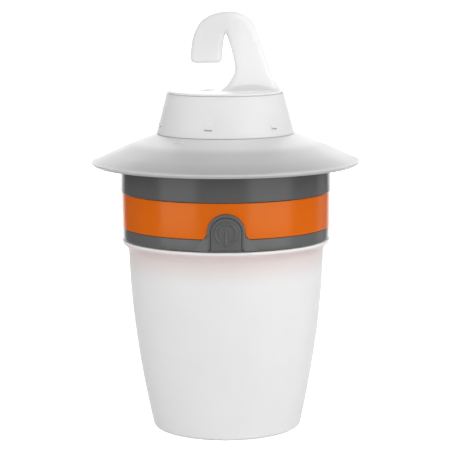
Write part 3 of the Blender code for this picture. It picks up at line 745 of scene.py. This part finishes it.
# %% Loft the hook and join it to its lid
hook_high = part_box("hook")[1]
HOOK_TOP_Z = hook_high.z / MM - 0.15
LID_TOP_Z = 149.3
HALF_DEPTH = 4.4
EDGE_ROUND = 2.6
SHANK_TOP_Z = 176         # below this height the shank grows deeper towards its foot
SHANK_SLOPE = 0.08
TIP_STEPS = 8             # rings that round off the tip
FILLET_RINGS = 12         # rings at the foot that the fillet may widen
STATIONS = [
    ((25.1, 148.5), (-3.6, 148.5)), ((22.4, 152.4), (1.2, 152.2)), ((20.0, 157.6), (4.3, 157.6)),
    ((17.3, 165.2), (3.5, 164.0)), ((14.4, 173.8), (1.8, 170.3)), ((11.3, 180.2), (0.8, 173.3)),
    ((4.6, HOOK_TOP_Z), (0.4, 174.0)), ((-3.4, 183.0), (0.0, 173.4)),
    ((-9.8, 179.9), (-0.4, 171.6)), ((-13.4, 174.0), (-0.8, 169.0)),
    ((-14.8, 167.2), (-1.1, 166.0)), ((-15.1, 163.2), (-1.3, 163.2))]


def smooth_path(points, steps):
    """A Catmull-Rom curve through the points."""
    points = [Vector(p) for p in points]
    padded = [points[0], *points, points[-1]]
    path = []
    for a, b, c, d in zip(padded, padded[1:], padded[2:], padded[3:]):
        for step in range(steps):
            t = step / steps
            path.append(0.5 * (2 * b + (c - a) * t + (2 * a - 5 * b + 4 * c - d) * t ** 2
                               + (3 * b - a - 3 * c + d) * t ** 3))
    return path + [points[-1]]


def rounded_section(half_width, half_depth, radius, steps=7, flats=3):
    """Points (across, depth) of a rectangle with round corners and a few points on its flats."""
    radius = min(radius, 0.98 * half_width, 0.98 * half_depth)
    points = []
    for turn, (sx, sy) in enumerate(((1, 1), (-1, 1), (-1, -1), (1, -1))):
        cx, cy = sx * (half_width - radius), sy * (half_depth - radius)
        for step in range(steps + 1):
            angle = math.pi / 2 * (turn + step / steps)
            points.append((cx + radius * math.cos(angle), cy + radius * math.sin(angle)))
        nx, ny = ((-1, 1), (-1, -1), (1, -1), (1, 1))[turn]
        goal = (nx * (half_width - radius), ny * half_depth) if turn in (0, 2) else (
            nx * half_width, ny * (half_depth - radius))
        start = points[-1]
        for step in range(1, flats + 1):
            share = step / (flats + 1)
            points.append((start[0] + (goal[0] - start[0]) * share, start[1] + (goal[1] - start[1]) * share))
    return points


def hook_arm():
    bm = bmesh.new()
    rings = []
    path = smooth_path([(*outer, *inner) for outer, inner in STATIONS], 8)
    end = path[-1]
    for step in range(1, TIP_STEPS + 1):
        drop = 1.9 * math.sin(math.pi / 2 * step / TIP_STEPS)
        pinch = 2.2 * (1 - math.cos(math.pi / 2 * step / TIP_STEPS))
        path.append(end + Vector((pinch, -drop, -pinch, -drop)))
    for number, (outer_x, outer_z, inner_x, inner_z) in enumerate(path):
        centre = Vector((outer_x + inner_x, 0, outer_z + inner_z)) / 2
        across = Vector((outer_x - inner_x, 0, outer_z - inner_z)) / 2
        shank = max(0.0, SHANK_TOP_Z - centre.z) if outer_x > 8 else 0.0
        half_depth = HALF_DEPTH + SHANK_SLOPE * shank
        past_tip = max(0, number - (len(path) - 1 - TIP_STEPS)) / TIP_STEPS
        half_depth -= 1.9 * (1 - math.cos(math.pi / 2 * past_tip))
        above_lid = max(0.0, min(1.0, (centre.z - LID_TOP_Z) / 2.6))
        if number < FILLET_RINGS:
            half_depth += 2.0 * (1 - math.sqrt(1 - (1 - above_lid) ** 2))
        points = rounded_section(across.length, half_depth, EDGE_ROUND)
        across.normalize()
        rings.append([bm.verts.new((centre + across * u + Vector((0, v, 0))) * MM) for u, v in points])
    bridge(bm, rings)
    bm.faces.new(rings[0])
    bm.faces.new(rings[-1])
    return object_from("hook_arm", bm, math.radians(60))


def hook_frost_with_painted_shade():
    """Painted shade: the bend and the tip are greyer than the shank, and a grey arch is painted at the
    shank's foot on the lid.
    """
    material = moulded("hook_frost", (0.91, 0.91, 0.91), (0.88, 0.88, 0.88), (0.24, 0.32),
                       depth_mm=0.01, scuffs=0.3, glow=0.5)
    tree, shader, place, base = reopen(material)
    x, _, z = add_node(tree, "ShaderNodeSeparateXYZ", place).outputs
    # painted shade over the bend and the tip, strongest high up
    painted_bend_shade = calculate(tree, "MULTIPLY", ramp(tree, x, -1.0 * MM, 9.0 * MM, 1.0, 0.0, smooth=True),
                     ramp(tree, z, 155 * MM, 178 * MM, 0.4, 1.0, smooth=True))
    with_bend_shade = blend_colours(tree, painted_bend_shade, base, (0.80, 0.80, 0.80))
    # painted shade: a grey arch at the foot of the shank, just above the lid
    centred = add_node(tree, "ShaderNodeMapping", Vector=place, vector_type="TEXTURE",
                       Location=(0.01135, 0.0, 0.1488), Scale=(0.0112, 1.0, 0.0036)).outputs[0]
    reach = add_node(tree, "ShaderNodeVectorMath", centred, operation="LENGTH").outputs["Value"]
    above_lid = ramp(tree, z, 149.35 * MM, 149.7 * MM, 0.0, 1.0)
    painted_foot_shade = calculate(tree, "MULTIPLY", ramp(tree, reach, 0.78, 1.06, 1.0, 0.0, smooth=True), above_lid)
    tree.links.new(blend_colours(tree, painted_foot_shade, with_bend_shade, (0.78, 0.78, 0.78)), shader.inputs["Base Color"])
    return material


lid_r = 25.5
skirt_r = recess_r - 0.3
lid_under = cone_top + 0.12
skirt_foot = PLATE_TOP_Z + 0.3
hook = turn_on_lathe("hook_and_lid", [
    (0, LID_TOP_Z, 0), (lid_r, LID_TOP_Z, 0.55), (lid_r, lid_under, 0.15), (skirt_r, lid_under, 0.2),
    (skirt_r, skirt_foot, 0.3), (skirt_r - 1.6, skirt_foot, 0.3),
    (skirt_r - 1.6, LID_TOP_Z - 1.9, 0.5), (0, LID_TOP_Z - 1.9, 0)])
for x, y in on_circle(HOOK_SCREW_R, 90):
    add(hook, post(2.8, skirt_foot, LID_TOP_Z - 1.5, x, y))
    cut(hook, post(1.25, PLATE_TOP_Z - 1, LID_TOP_Z - 1.8, x, y))
cut(hook, post(3.5, LID_TOP_Z - 0.7, LID_TOP_Z + 1, -8.0, 0.5, 64))
add(hook, hook_arm())
fit(hook, "head", "frosted_plastic", hook_frost_with_painted_shade(), "hook")

# %% [markdown]
# ## The collar's rings
#
# The orange moulding is one piece from the spigot inside the cup up to the wide band
# outside. The lower grey ring closes it below and the upper grey ring above. All are
# turned. What is not round is cut or added afterwards: the arch-shaped window in the
# band, the posts for the case screws, and the holes for all the screws.

# %% Outlines for the arch and a helper that bends flat shapes round the collar
ARCH_CENTRE_Z = 92.75
ARCH_HALF = 7.95
BAND_Z, BAND_TOP_Z = 89.9, 105.2
FLARE_TOP_Z = 92.9
FLARE_REACH = 2.0
OPENING_HALF, OPENING_FOOT_Z = 6.52, 85.25
BUTTON_HALF, BUTTON_FOOT_Z = 6.36, 85.4
GAP = 0.3
BAND_R = 45.8


def arch_points(half, foot, foot_round):
    """A round-headed arch from its right foot over the top to its left foot, as (x, z)."""
    head = [(half * math.cos(a), ARCH_CENTRE_Z + half * math.sin(a)) for a in np.linspace(0, math.pi, 25)]
    corner = [(half - foot_round + foot_round * math.cos(a), foot + foot_round + foot_round * math.sin(a))
              for a in np.linspace(-math.pi / 2, 0, 7)]
    return [*corner, *head, *[(-x, z) for x, z in reversed(corner)]]


def flank(z):
    """How far the arch's flank stands from its middle: it flares where it meets the ring."""
    share = max(0.0, min(1.0, (FLARE_TOP_Z - z) / (FLARE_TOP_Z - BAND_Z)))
    return ARCH_HALF + FLARE_REACH * share ** 2.2


def window_points(gap):
    """The arch's outline with its flared feet, from right to left, for the band's window."""
    heights = [BAND_Z - 6, *np.linspace(BAND_Z, FLARE_TOP_Z, 9)]
    right = [(flank(z) + gap, z) for z in heights]
    head = [((ARCH_HALF + gap) * math.cos(a), ARCH_CENTRE_Z + (ARCH_HALF + gap) * math.sin(a))
            for a in np.linspace(0.06, math.pi - 0.06, 33)]
    return [*right, *head, *[(-x, z) for x, z in reversed(right)]]


def wrap(x, radius, z):
    """A point x millimetres along the collar's front, at a radius: the front is -Y."""
    angle = x / BAND_R
    return (radius * MM * math.sin(angle), -radius * MM * math.cos(angle), z * MM)


def wrapped_prism(name, outline, near, far):
    """The solid between two radii inside an outline of (x, z) points."""
    bm = bmesh.new()
    front = [bm.verts.new(wrap(x, far, z)) for x, z in outline]
    rear = [bm.verts.new(wrap(x, near, z)) for x, z in outline]
    bm.faces.new(front)
    bm.faces.new(rear[::-1])
    for k in range(len(outline)):
        after = (k + 1) % len(outline)
        bm.faces.new((front[k], rear[k], rear[after], front[after]))
    bmesh.ops.triangulate(bm, faces=[f for f in bm.faces if len(f.verts) > 4])
    return object_from(name, bm)


print("the arch is", 2 * ARCH_HALF, "mm wide; its head is centred at height", ARCH_CENTRE_Z)

# %% Turn the orange band and its spigot
SPIGOT_R, SPIGOT_Z = 40.4, 72.6
SEAL_Z = 79.7
FLOOR_Z = 80.0
band = turn_on_lathe("orange_band", [
    (BAND_R, BAND_TOP_Z, 0.35), (BAND_R, BAND_Z, 0.35), (SPIGOT_R, BAND_Z, 0.3),
    (SPIGOT_R, SEAL_Z + 0.9, 0.15), (SPIGOT_R - 0.9, SEAL_Z + 0.9, 0.15),
    (SPIGOT_R - 0.9, SEAL_Z - 0.9, 0.15), (SPIGOT_R, SEAL_Z - 0.9, 0.15),
    (SPIGOT_R, SPIGOT_Z, 0.6), (SPIGOT_R - 2, SPIGOT_Z, 0.6), (SPIGOT_R - 2, FLOOR_Z, 0.8),
    (3.0, FLOOR_Z, 0.3), (3.0, FLOOR_Z + 1.6, 0.3), (SPIGOT_R - 2, FLOOR_Z + 1.6, 0.8),
    (SPIGOT_R - 2, BAND_Z + 2, 0.5), (BAND_R - 2.2, BAND_Z + 2, 0.5), (BAND_R - 2.2, BAND_TOP_Z, 0.5)])
cut(band, wrapped_prism("window", window_points(0.12), SPIGOT_R + 0.6, 50))
for x, y in on_circle(CASE_SCREW_R, 90):
    cut(band, post(1.6, FLOOR_Z - 2, FLOOR_Z + 4, x, y))
for side in (1, -1):
    cut(band, post(1.4, FLOOR_Z - 2, FLOOR_Z + 4, side * 20.3, 0))
fit(band, "base", "orange_plastic", orange_plastic, "chassis")

# %% Turn the upper ring with its deck and posts
UPPER_R = 46.2
DECK_TOP_Z = 121.6
skirt = BAND_R - 2.6
upper_ring = turn_on_lathe("upper_ring", [
    (UPPER_R - 0.45, DECK_TOP_Z, 0.7), (UPPER_R, BAND_TOP_Z + 0.15, 0.45),
    (skirt, BAND_TOP_Z + 0.15, 0.1),
    (skirt, 101.6, 0.4), (skirt - 1.6, 101.6, 0.4), (skirt - 1.6, DECK_TOP_Z - 1.8, 1.0),
    (22.5, DECK_TOP_Z - 1.8, 0.3), (22.5, DECK_TOP_Z, 0.3)])
for x, y in on_circle(CASE_SCREW_R, 90):
    add(upper_ring, post(3.2, FLOOR_Z + 1.9, DECK_TOP_Z - 1.3, x, y))
    cut(upper_ring, post(1.5, FLOOR_Z + 0.9, FLOOR_Z + 10.9, x, y))
for x, y in on_circle(BRIM_SCREW_R, 30):
    cut(upper_ring, post(1.6, DECK_TOP_Z - 2.8, DECK_TOP_Z + 1, x, y))
fit(upper_ring, "base", "grey_plastic", grey_plastic, "upper_collar")

# %% [markdown]
# ## The lower ring and its arch
#
# The arch stands a millimetre proud of the ring and frames the button. Its feet do
# not stop short: they run out sideways into the ring in a shallow slope, as a moulder
# draws them so that the steel mould has no thin edge. The arch is a small section swept
# along a path and bent round the collar, and each slope is a grid bent the same way. The
# band's window follows the same flared outline, so that the three pieces meet.

# %% Sweep the arch frame and slope its feet
RING_Z = 84.6
LOWER_R = 45.5
ARCH_FACE_R = 46.5


def arch_frame():
    """A frame with soft edges: sections across its width, swept from foot to foot."""
    inner_r = BAND_R - 2.0
    face, edge = ARCH_FACE_R, 0.2
    foot = RING_Z + 1.3
    section = [(ARCH_HALF, inner_r), (ARCH_HALF, face - edge), (ARCH_HALF - 0.3 * edge, face - 0.3 * edge),
               (ARCH_HALF - edge, face), (OPENING_HALF + edge, face),
               (OPENING_HALF + 0.3 * edge, face - 0.3 * edge), (OPENING_HALF, face - edge),
               (OPENING_HALF, inner_r)]
    bm = bmesh.new()
    rings = [[bm.verts.new(wrap(half * math.cos(a), r, ARCH_CENTRE_Z + half * math.sin(a)))
              for half, r in section] for a in np.linspace(0, math.pi, 49)]
    low_right = [bm.verts.new(wrap(half, r, foot)) for half, r in section]
    low_left = [bm.verts.new(wrap(-half, r, foot)) for half, r in section]
    bridge(bm, [low_right, *rings, low_left])
    bm.faces.new(low_right[::-1])
    bm.faces.new(low_left)
    return object_from("arch", bm)


FOOT_REACH = 13.6         # how far the slope runs out along the ring


def sloped_foot(side):
    """The slope between the arch's flank and the ring: highest beside the arch."""
    bm = bmesh.new()
    low, high = RING_Z + 0.35, FLARE_TOP_Z - 0.1
    across, upward = 14, 16
    rows = []
    for z in np.linspace(low, high, upward + 1):
        below_band = max(0.0, (BAND_Z - z) / (BAND_Z - low))
        far = flank(z) + (FOOT_REACH - ARCH_HALF - FLARE_REACH) * below_band
        row = []
        for k in range(across + 1):
            t = k / across
            x = ARCH_HALF - 0.4 + (far - ARCH_HALF + 0.4) * t
            proud = (ARCH_FACE_R - 0.1 - LOWER_R) * (1 - t) ** 1.1 - 0.02
            row.append((side * x, LOWER_R + proud, z))
        rows.append(row)
    outer = [[bm.verts.new(wrap(*p)) for p in row] for row in rows]
    inner = [[bm.verts.new(wrap(x, LOWER_R - 1.2, z)) for x, _, z in row] for row in rows]
    ends = [[grid[i] for grid in (outer, inner)] for i in (0, -1)]
    sides = [[[row[k] for row in grid] for grid in (outer, inner)] for k in (0, -1)]
    for grid in (outer, inner, *ends, *sides):
        for a, b in zip(grid, grid[1:]):
            for k in range(len(a) - 1):
                bm.faces.new((a[k], a[k + 1], b[k + 1], b[k]))
    return object_from("foot_slope", bm)


lower_ring = turn_on_lathe("lower_ring", [
    (LOWER_R, BAND_Z - 0.15, 0.35), (LOWER_R, RING_Z, 0.7), (SPIGOT_R + 0.4, RING_Z, 0.3),
    (SPIGOT_R + 0.4, BAND_Z - 0.15, 0.3)])
add(lower_ring, arch_frame())
for side in (1, -1):
    add(lower_ring, sloped_foot(side))
opening = arch_points(OPENING_HALF, OPENING_FOOT_Z, 0.5)
cut(lower_ring, wrapped_prism("opening", opening, 38, 50))
fit(lower_ring, "base", "grey_plastic", grey_with_painted_light, "lower_collar")

# %% [markdown]
# ## The power button
#
# The cap is a crowned cushion of hard plastic. Nested copies of the arch outline, each a
# little smaller and a little further out, make its rounded edge and its crown. The mark
# on it is a plain raised ring with a bar, as on any switch; each stroke is a half-round
# ridge swept along its path and sunk a little into the cap.

# %% Crown the button and raise its mark
BUTTON_FACE_R = 46.85


def button_cap():
    bm = bmesh.new()
    corner_r, edge = 0.6, 0.28
    levels = [(0.0, BUTTON_FACE_R - 2.5), (0.0, BUTTON_FACE_R - edge - 0.2)]
    for a in np.linspace(0.2, math.pi / 2, 6):
        levels.append((edge * (1 - math.cos(a)), BUTTON_FACE_R - edge * (1 - math.sin(a)) - 0.2))
    for inset in np.linspace(edge + 0.5, BUTTON_HALF - 0.4, 7):
        levels.append((inset, BUTTON_FACE_R - 0.2 + 0.15 * math.sin(math.pi / 2 * inset / BUTTON_HALF)))
    rings = []
    for inset, radius in levels:
        outline = arch_points(BUTTON_HALF - inset, BUTTON_FOOT_Z + inset, max(0.05, corner_r - 0.8 * inset))
        rings.append([bm.verts.new(wrap(x, radius, z)) for x, z in outline])
    bridge(bm, rings)
    for end in (rings[0], rings[-1]):
        bmesh.ops.triangulate(bm, faces=[bm.faces.new(end)])
    return object_from("power_button_cap", bm)


def ridge(path, width, height):
    """A half-round ridge along (x, z) points on the button's face, its ends rounded."""
    bm = bmesh.new()
    rings = []
    for k, (x, z) in enumerate(path):
        before, after = path[max(0, k - 1)], path[min(len(path) - 1, k + 1)]
        along = (Vector(after) - Vector(before)).normalized()
        across = Vector((-along.y, along.x))
        taper = 0.35 if k in (0, len(path) - 1) else 1.0
        ring_points = []
        for a in np.linspace(0, math.pi, 9):
            offset = across * (width / 2 * taper * math.cos(a))
            crest = BUTTON_FACE_R - 0.12 + height * taper * math.sin(a)
            ring_points.append((x + offset.x, crest, z + offset.y))
        for end in (-1, 0):
            ring_points.append((ring_points[end][0], BUTTON_FACE_R - 0.8, ring_points[end][2]))
        rings.append([bm.verts.new(wrap(*p)) for p in ring_points])
    bridge(bm, rings)
    for end in (rings[0], rings[-1]):
        bm.faces.new(end)
    return object_from("ridge", bm)


def face_front(obj):
    """Tip a piece that was turned about Z forwards, so that the button's line is its axis."""
    obj.data.transform(Matrix.Translation((0, 0, PRESS_Z * MM)) @ Matrix.Rotation(math.radians(90), 4, "X"))
    return obj


PRESS_Z = 96.7            # the height at which the button presses the dome
MARK_Z, MARK_R = 92.6, 4.3
stroke, relief = 1.2, 0.62
gap_half = math.radians(33)
ring_path = [(MARK_R * math.sin(a), MARK_Z - MARK_R * math.cos(a))
             for a in np.linspace(gap_half, math.tau - gap_half, 45)]
bar_path = [(0, z) for z in np.linspace(94.3, 86.9, 12)]
button = button_cap()
add(button, ridge(ring_path, stroke, relief))
add(button, ridge(bar_path, stroke, relief))
stem = turn_on_lathe("stem", [(0, 42.9, 0), (2.2, 42.9, 0.3), (2.2, 44.8, 0), (0, 44.8, 0)], 32)
add(button, face_front(stem))
fit(button, "button", "grey_plastic", grey_with_painted_light, "power_button")

# %% [markdown]
# ## Inside the lantern
#
# These pieces show when the battery cover is off, and they make the lantern work: the
# cradle with three cells, their springs, the switch, the light board and the seals.
# Metal, circuit board and cell jackets each get a finish of their own.

# %% Steel, board, light chips and cell jackets
def steel_finish():
    material, tree, shader, place = new_material("steel")
    cloud = add_group(tree, skin_group, place, Grain=900.0, Cloud=120.0)["Cloud"]
    scuff = add_group(tree, scuff_group, place, Size=3000.0, Amount=0.8)["Scuff"]
    tree.links.new(blend_colours(tree, cloud, (0.62, 0.61, 0.59), (0.50, 0.49, 0.475)),
                   shader.inputs["Base Color"])
    dullness = calculate(tree, "MAXIMUM", cloud, scuff)
    tree.links.new(ramp(tree, dullness, 0.2, 0.9, 0.2, 0.42), shader.inputs["Roughness"])
    add_bump(tree, shader, scuff, 0.004)
    shader.inputs["Metallic"].default_value = 1.0
    return material


def board_finish():
    """Solder mask with tracks: a brick pattern's fine lines under a glossy lacquer."""
    material, tree, shader, place = new_material("board")
    skin = add_group(tree, skin_group, place, Grain=1800.0, Cloud=90.0)
    tracks = add_node(tree, "ShaderNodeTexBrick", Vector=place, Scale=260.0, Mortar_Size=0.06,
                      Color1=(0, 0, 0, 1), Color2=(0, 0, 0, 1), Mortar=(1, 1, 1, 1)).outputs["Color"]
    mask = blend_colours(tree, skin["Cloud"], (0.030, 0.115, 0.045), (0.022, 0.088, 0.036))
    tree.links.new(blend_colours(tree, tracks, mask, (0.05, 0.19, 0.075)), shader.inputs["Base Color"])
    tree.links.new(ramp(tree, skin["Grain"], 0.3, 0.7, 0.22, 0.34), shader.inputs["Roughness"])
    add_bump(tree, shader, tracks, 0.03)
    return material


def by_height(name, low_colour, high_colour, bands, gloss):
    """A plastic whose colour changes at the given heights: [(from, to), ...] are high_colour."""
    material, tree, shader, place = new_material(name)
    skin = add_group(tree, skin_group, place)
    height = add_node(tree, "ShaderNodeSeparateXYZ", place).outputs["Z"]
    mask = 0.0
    for low, high in bands:
        rise = ramp(tree, height, (low - 0.05) * MM, (low + 0.05) * MM, 0.0, 1.0)
        fall = ramp(tree, height, (high - 0.05) * MM, (high + 0.05) * MM, 1.0, 0.0)
        mask = calculate(tree, "MAXIMUM", mask, calculate(tree, "MULTIPLY", rise, fall))
    worn = blend_colours(tree, skin["Cloud"], low_colour, tuple(0.85 * c for c in low_colour))
    tree.links.new(blend_colours(tree, mask, worn, high_colour), shader.inputs["Base Color"])
    tree.links.new(ramp(tree, skin["Cloud"], 0.3, 0.7, *gloss), shader.inputs["Roughness"])
    add_bump(tree, shader, skin["Grain"], 0.01)
    return material


CELL_Z, CELL_BODY, CELL_NUB = 86.7, 49.2, 1.2
steel = steel_finish()
board = board_finish()
cell_jacket = by_height("cell_jacket", (0.025, 0.045, 0.14), (0.42, 0.43, 0.44),
                        [(CELL_Z + 36, CELL_Z + 48.4), (CELL_Z + 4, CELL_Z + 5)], (0.2, 0.3))
light_chip = by_height("light_chip", (0.80, 0.62, 0.14), (0.82, 0.81, 0.78), [(76.45, 77.3)], (0.25, 0.35))
print("finishes:", steel.name, board.name, cell_jacket.name, light_chip.name)

# %% Cradle, lid and cells
CELL_CIRCLE_R = 8.9
CRADLE_R = 18.4
cradle_z = FLOOR_Z + 1.9
cell_top = CELL_Z + CELL_BODY + CELL_NUB
cradle_top = cell_top + 0.8
cradle = turn_on_lathe("cradle", [
    (0, cradle_z, 0), (CRADLE_R, cradle_z, 0.6), (CRADLE_R, cradle_top, 0.4),
    (CRADLE_R - 1.5, cradle_top, 0.4), (CRADLE_R - 1.5, cradle_z + 1.2, 0.6), (0, cradle_z + 1.2, 0)], 128)
fit(cradle, "base", "white_plastic", white_plastic, "cell_cradle")
lid_z = cradle_top + GAP
cradle_lid = turn_on_lathe("contact_lid", [
    (0, lid_z, 0), (CRADLE_R, lid_z, 0.2), (CRADLE_R, lid_z + 1.6, 0.5), (16.6, lid_z + 1.6, 0.3),
    (16.2, lid_z + 1.0, 0.3), (5.4, lid_z + 1.0, 0.3), (5.0, lid_z + 1.6, 0.3), (0, lid_z + 1.6, 0)], 128)
for x, y in on_circle(13.2, 30):
    cut(cradle_lid, post(1.2, lid_z - 1, lid_z + 3, x, y))
fit(cradle_lid, "base", "white_plastic", white_plastic, "cradle_lid")

cell = turn_on_lathe("cells", [
    (0, 0.25, 0), (4.6, 0.25, 0.2), (5.0, 0, 0.2), (6.4, 0, 0.3), (6.7, 0.35, 0.1), (7.25, 0.6, 0.35),
    (7.25, CELL_BODY - 0.6, 0.35), (6.6, CELL_BODY, 0.3), (5.6, CELL_BODY, 0.2), (5.4, CELL_BODY - 0.3, 0.1),
    (3.1, CELL_BODY - 0.3, 0.2), (2.75, CELL_BODY, 0.2), (2.75, CELL_BODY + CELL_NUB, 0.4),
    (0, CELL_BODY + CELL_NUB, 0)], 64)
set_round(cell, 3, CELL_CIRCLE_R, CELL_Z, 90, cell_jacket)
fit(cell, "base", "cell_jacket", cell_jacket, "cell_1", "cell_2", "cell_3")

# %% [markdown]
# ## Springs
#
# A contact spring is a cone-shaped coil, so it follows a rule: a number of turns, two
# radii and a height. A Spiral curve node draws the path, Curve to Mesh gives it the
# wire's thickness, and the ring tree sets one under each cell.

# %% Coil the springs
def wire_tube(tree, given, path, sides):
    """Give a path the wire's thickness, and end the tree."""
    section = add_node(tree, "GeometryNodeCurvePrimitiveCircle", Resolution=sides, Radius=given["Wire"])
    tube = add_node(tree, "GeometryNodeCurveToMesh", Curve=path, Profile_Curve=section.outputs[0],
                    Fill_Caps=True)
    return end_tree(tree, given, tube.outputs[0])


def coil_tree():
    tree, given, _ = geometry_tree("coil_spring", Turns="Float", Low_Radius="Float", High_Radius="Float",
                                   Height="Float", Wire="Float", Material="Material")
    spiral = add_node(tree, "GeometryNodeCurveSpiral", Resolution=24, Rotations=given["Turns"],
                      Start_Radius=given["Low Radius"], End_Radius=given["High Radius"],
                      Height=given["Height"])
    return wire_tube(tree, given, spiral.outputs[0], 10)


springs = put_in_scene("cell_springs", bpy.data.meshes.new("cell_springs"))
spring_low, spring_high = cradle_z + 1.8, CELL_Z - 0.6
run_tree(springs, coil_tree(), Turns=3.5, Low_Radius=4.2 * MM, High_Radius=2.4 * MM,
         Height=(spring_high - spring_low) * MM, Wire=0.28 * MM, Material=steel)
set_round(springs, 3, CELL_CIRCLE_R, spring_low, 90, steel)
fit(springs, "base", "steel", steel, "cell_spring_1", "cell_spring_2", "cell_spring_3")

# %% [markdown]
# ## Screws
#
# Nine pan-head screws hold the lantern together: three for the case, three for the
# brim and three for the hook. One screw with a cross recess is modelled, and the ring
# tree sets each group of three.

# %% Turn one screw and set three groups
def pan_screw(name, length):
    """Head down, point up; the cross is cut into the head from below."""
    screw = turn_on_lathe(name, [
        (0, 0, 0), (1.7, 0.05, 0.6), (2.5, 0.65, 0.4), (2.5, 1.3, 0.15), (1.2, 1.3, 0.2),
        (1.2, 0.5 + length, 0.2), (0, 1.3 + length, 0)], 32)
    for turn in (0, 90):
        across = Matrix.Rotation(math.radians(turn), 4, "Z")
        cut(screw, soft_block("cross", (2.6, 0.55, 1.3), place=across))
    return screw


for name, body, length, circle, first, z, nodes in (
        ("case_screws", "base", 9, CASE_SCREW_R, 90, FLOOR_Z - 1.6, "case_screw"),
        ("brim_screws", "base", 5, BRIM_SCREW_R, 30, DECK_TOP_Z - 3.4, "brim_screw"),
        ("hook_screws", "head", 5, HOOK_SCREW_R, 90, PLATE_Z - 1.6, "hook_screw")):
    group = set_round(pan_screw(name, length), 3, circle, z, first, steel)
    fit(group, body, "steel", steel, *[f"{nodes}_{k}" for k in (1, 2, 3)])

# %% [markdown]
# ## Seals, switch and light board
#
# A seal is a ring of rubber, so a circle is turned about the axis. The switch, its dome
# and its board stand behind the button. The light board carries eight chips in a ring,
# with a white dish around them.

# %% Seals, contacts, switch and light board
def ring_seal(name, centre_r, centre_z, wire, body, node):
    points = [(centre_r + wire * math.cos(a), centre_z + wire * math.sin(a), 0)
              for a in np.linspace(0, math.tau, 16, endpoint=False)]
    fit(turn_on_lathe(name, points, 128), body, "seal_rubber", seal_rubber, node)


ring_seal("cup_seal", SPIGOT_R + 0.05, SEAL_Z, 0.55, "base", "diffuser_seal")
ring_seal("cover_seal", NECK_R + 1.15, COVER_SEAL_Z, 0.8, "seal", "head_seal")


def moved(centre):
    return Matrix.Translation(Vector(centre) * MM)


for node, piece, slot_name, finish in (("switch_board", "switch_board_fr4", "board", board),
                                       ("top_contact_1", "contact_plate_single", "steel", steel),
                                       ("top_contact_2", "contact_plate_pair", "steel", steel)):
    low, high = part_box(node)
    fit(soft_block(piece, (high - low) / MM, 0.12, moved((high + low) / 2 / MM)), "base", slot_name,
        finish, node)

switch = soft_block("push_switch", (4.5, 3.3, 4.5), 0.3, moved((0, -37.55, PRESS_Z)))
plunger = turn_on_lathe("plunger", [(0, 38.5, 0), (1.2, 38.5, 0), (1.2, 40.2, 0.3), (0, 40.2, 0)], 24)
add(switch, face_front(plunger))
fit(switch, "base", "black_plastic", black_plastic, "tact_switch")

dome = turn_on_lathe("return_dome", [
    (0, 41.9, 0), (3.0, 41.9, 0.5), (4.0, 41.0, 0.6), (4.4, 35.9, 0.2), (3.7, 35.9, 0.2),
    (3.5, 40.7, 0.5), (2.6, 41.2, 0.3), (0, 41.2, 0)], 64)
fit(face_front(dome), "base", "seal_rubber", seal_rubber, "button_dome")

light_board = turn_on_lathe("light_board", [
    (0, 77.4, 0), (28.0, 77.4, 0.15), (28.0, 79.0, 0.15), (0, 79.0, 0)], 128)
fit(light_board, "base", "board", board, "led_board")
chips = soft_block("light_chips", (3.5, 2.8, 0.8), 0.15)
set_round(chips, 8, 21, 76.7, 22.5, light_chip)
fit(chips, "base", "led", light_chip, *[f"led_{k}" for k in range(1, 9)])
rim = SPIGOT_R - 2.4
dish = turn_on_lathe("reflector_dish", [
    (27.0, 76.6, 0.1), (rim - 1.5, 73.4, 0.4), (rim, 73.4, 0.3), (rim, 75.4, 0.2), (rim - 0.8, 75.4, 0.2),
    (rim - 0.8, 74.4, 0.3), (rim - 1.6, 74.4, 0.3), (27.4, 77.1, 0.1)], 128)
fit(dish, "base", "white_plastic", white_plastic, "reflector")

# %% [markdown]
# ## The leads
#
# Each wire starts at the cells, bends out over the cradle's rim and runs straight down
# to the light board. Its path is drawn point by point, and a tree gives it thickness.

# %% Bend the two leads
def lead(name, side, start, finish, slot_name, node):
    """A wire clipped along the cradle and down through the floor."""
    foot_z = 79.3
    bends = [(CRADLE_R + 1.1, start), (CRADLE_R + 1.5, start - 0.9), (20.3, start - 2.5), (20.3, foot_z)]
    path = smooth_path([(side * r, 0, z) for r, z in bends], 10)
    mesh = bpy.data.meshes.new(name)
    mesh.from_pydata([Vector(p) * MM for p in path], [(k, k + 1) for k in range(len(path) - 1)], [])
    wire = put_in_scene(name, mesh)
    run_tree(wire, wire_tree, Wire=0.68 * MM, Material=finish)
    fit(wire, "base", slot_name, finish, node)


wire_tree, given, _ = geometry_tree("wire_on_path", Wire="Float", Material="Material")
path = add_node(wire_tree, "GeometryNodeMeshToCurve", given["Geometry"])
wire_tube(wire_tree, given, path.outputs[0], 16)
lead("lead_plus", 1, cell_top - 2, red_plastic, "red_plastic", "lead_red")
lead("lead_minus", -1, CELL_Z, black_plastic, "black_plastic", "lead_black")
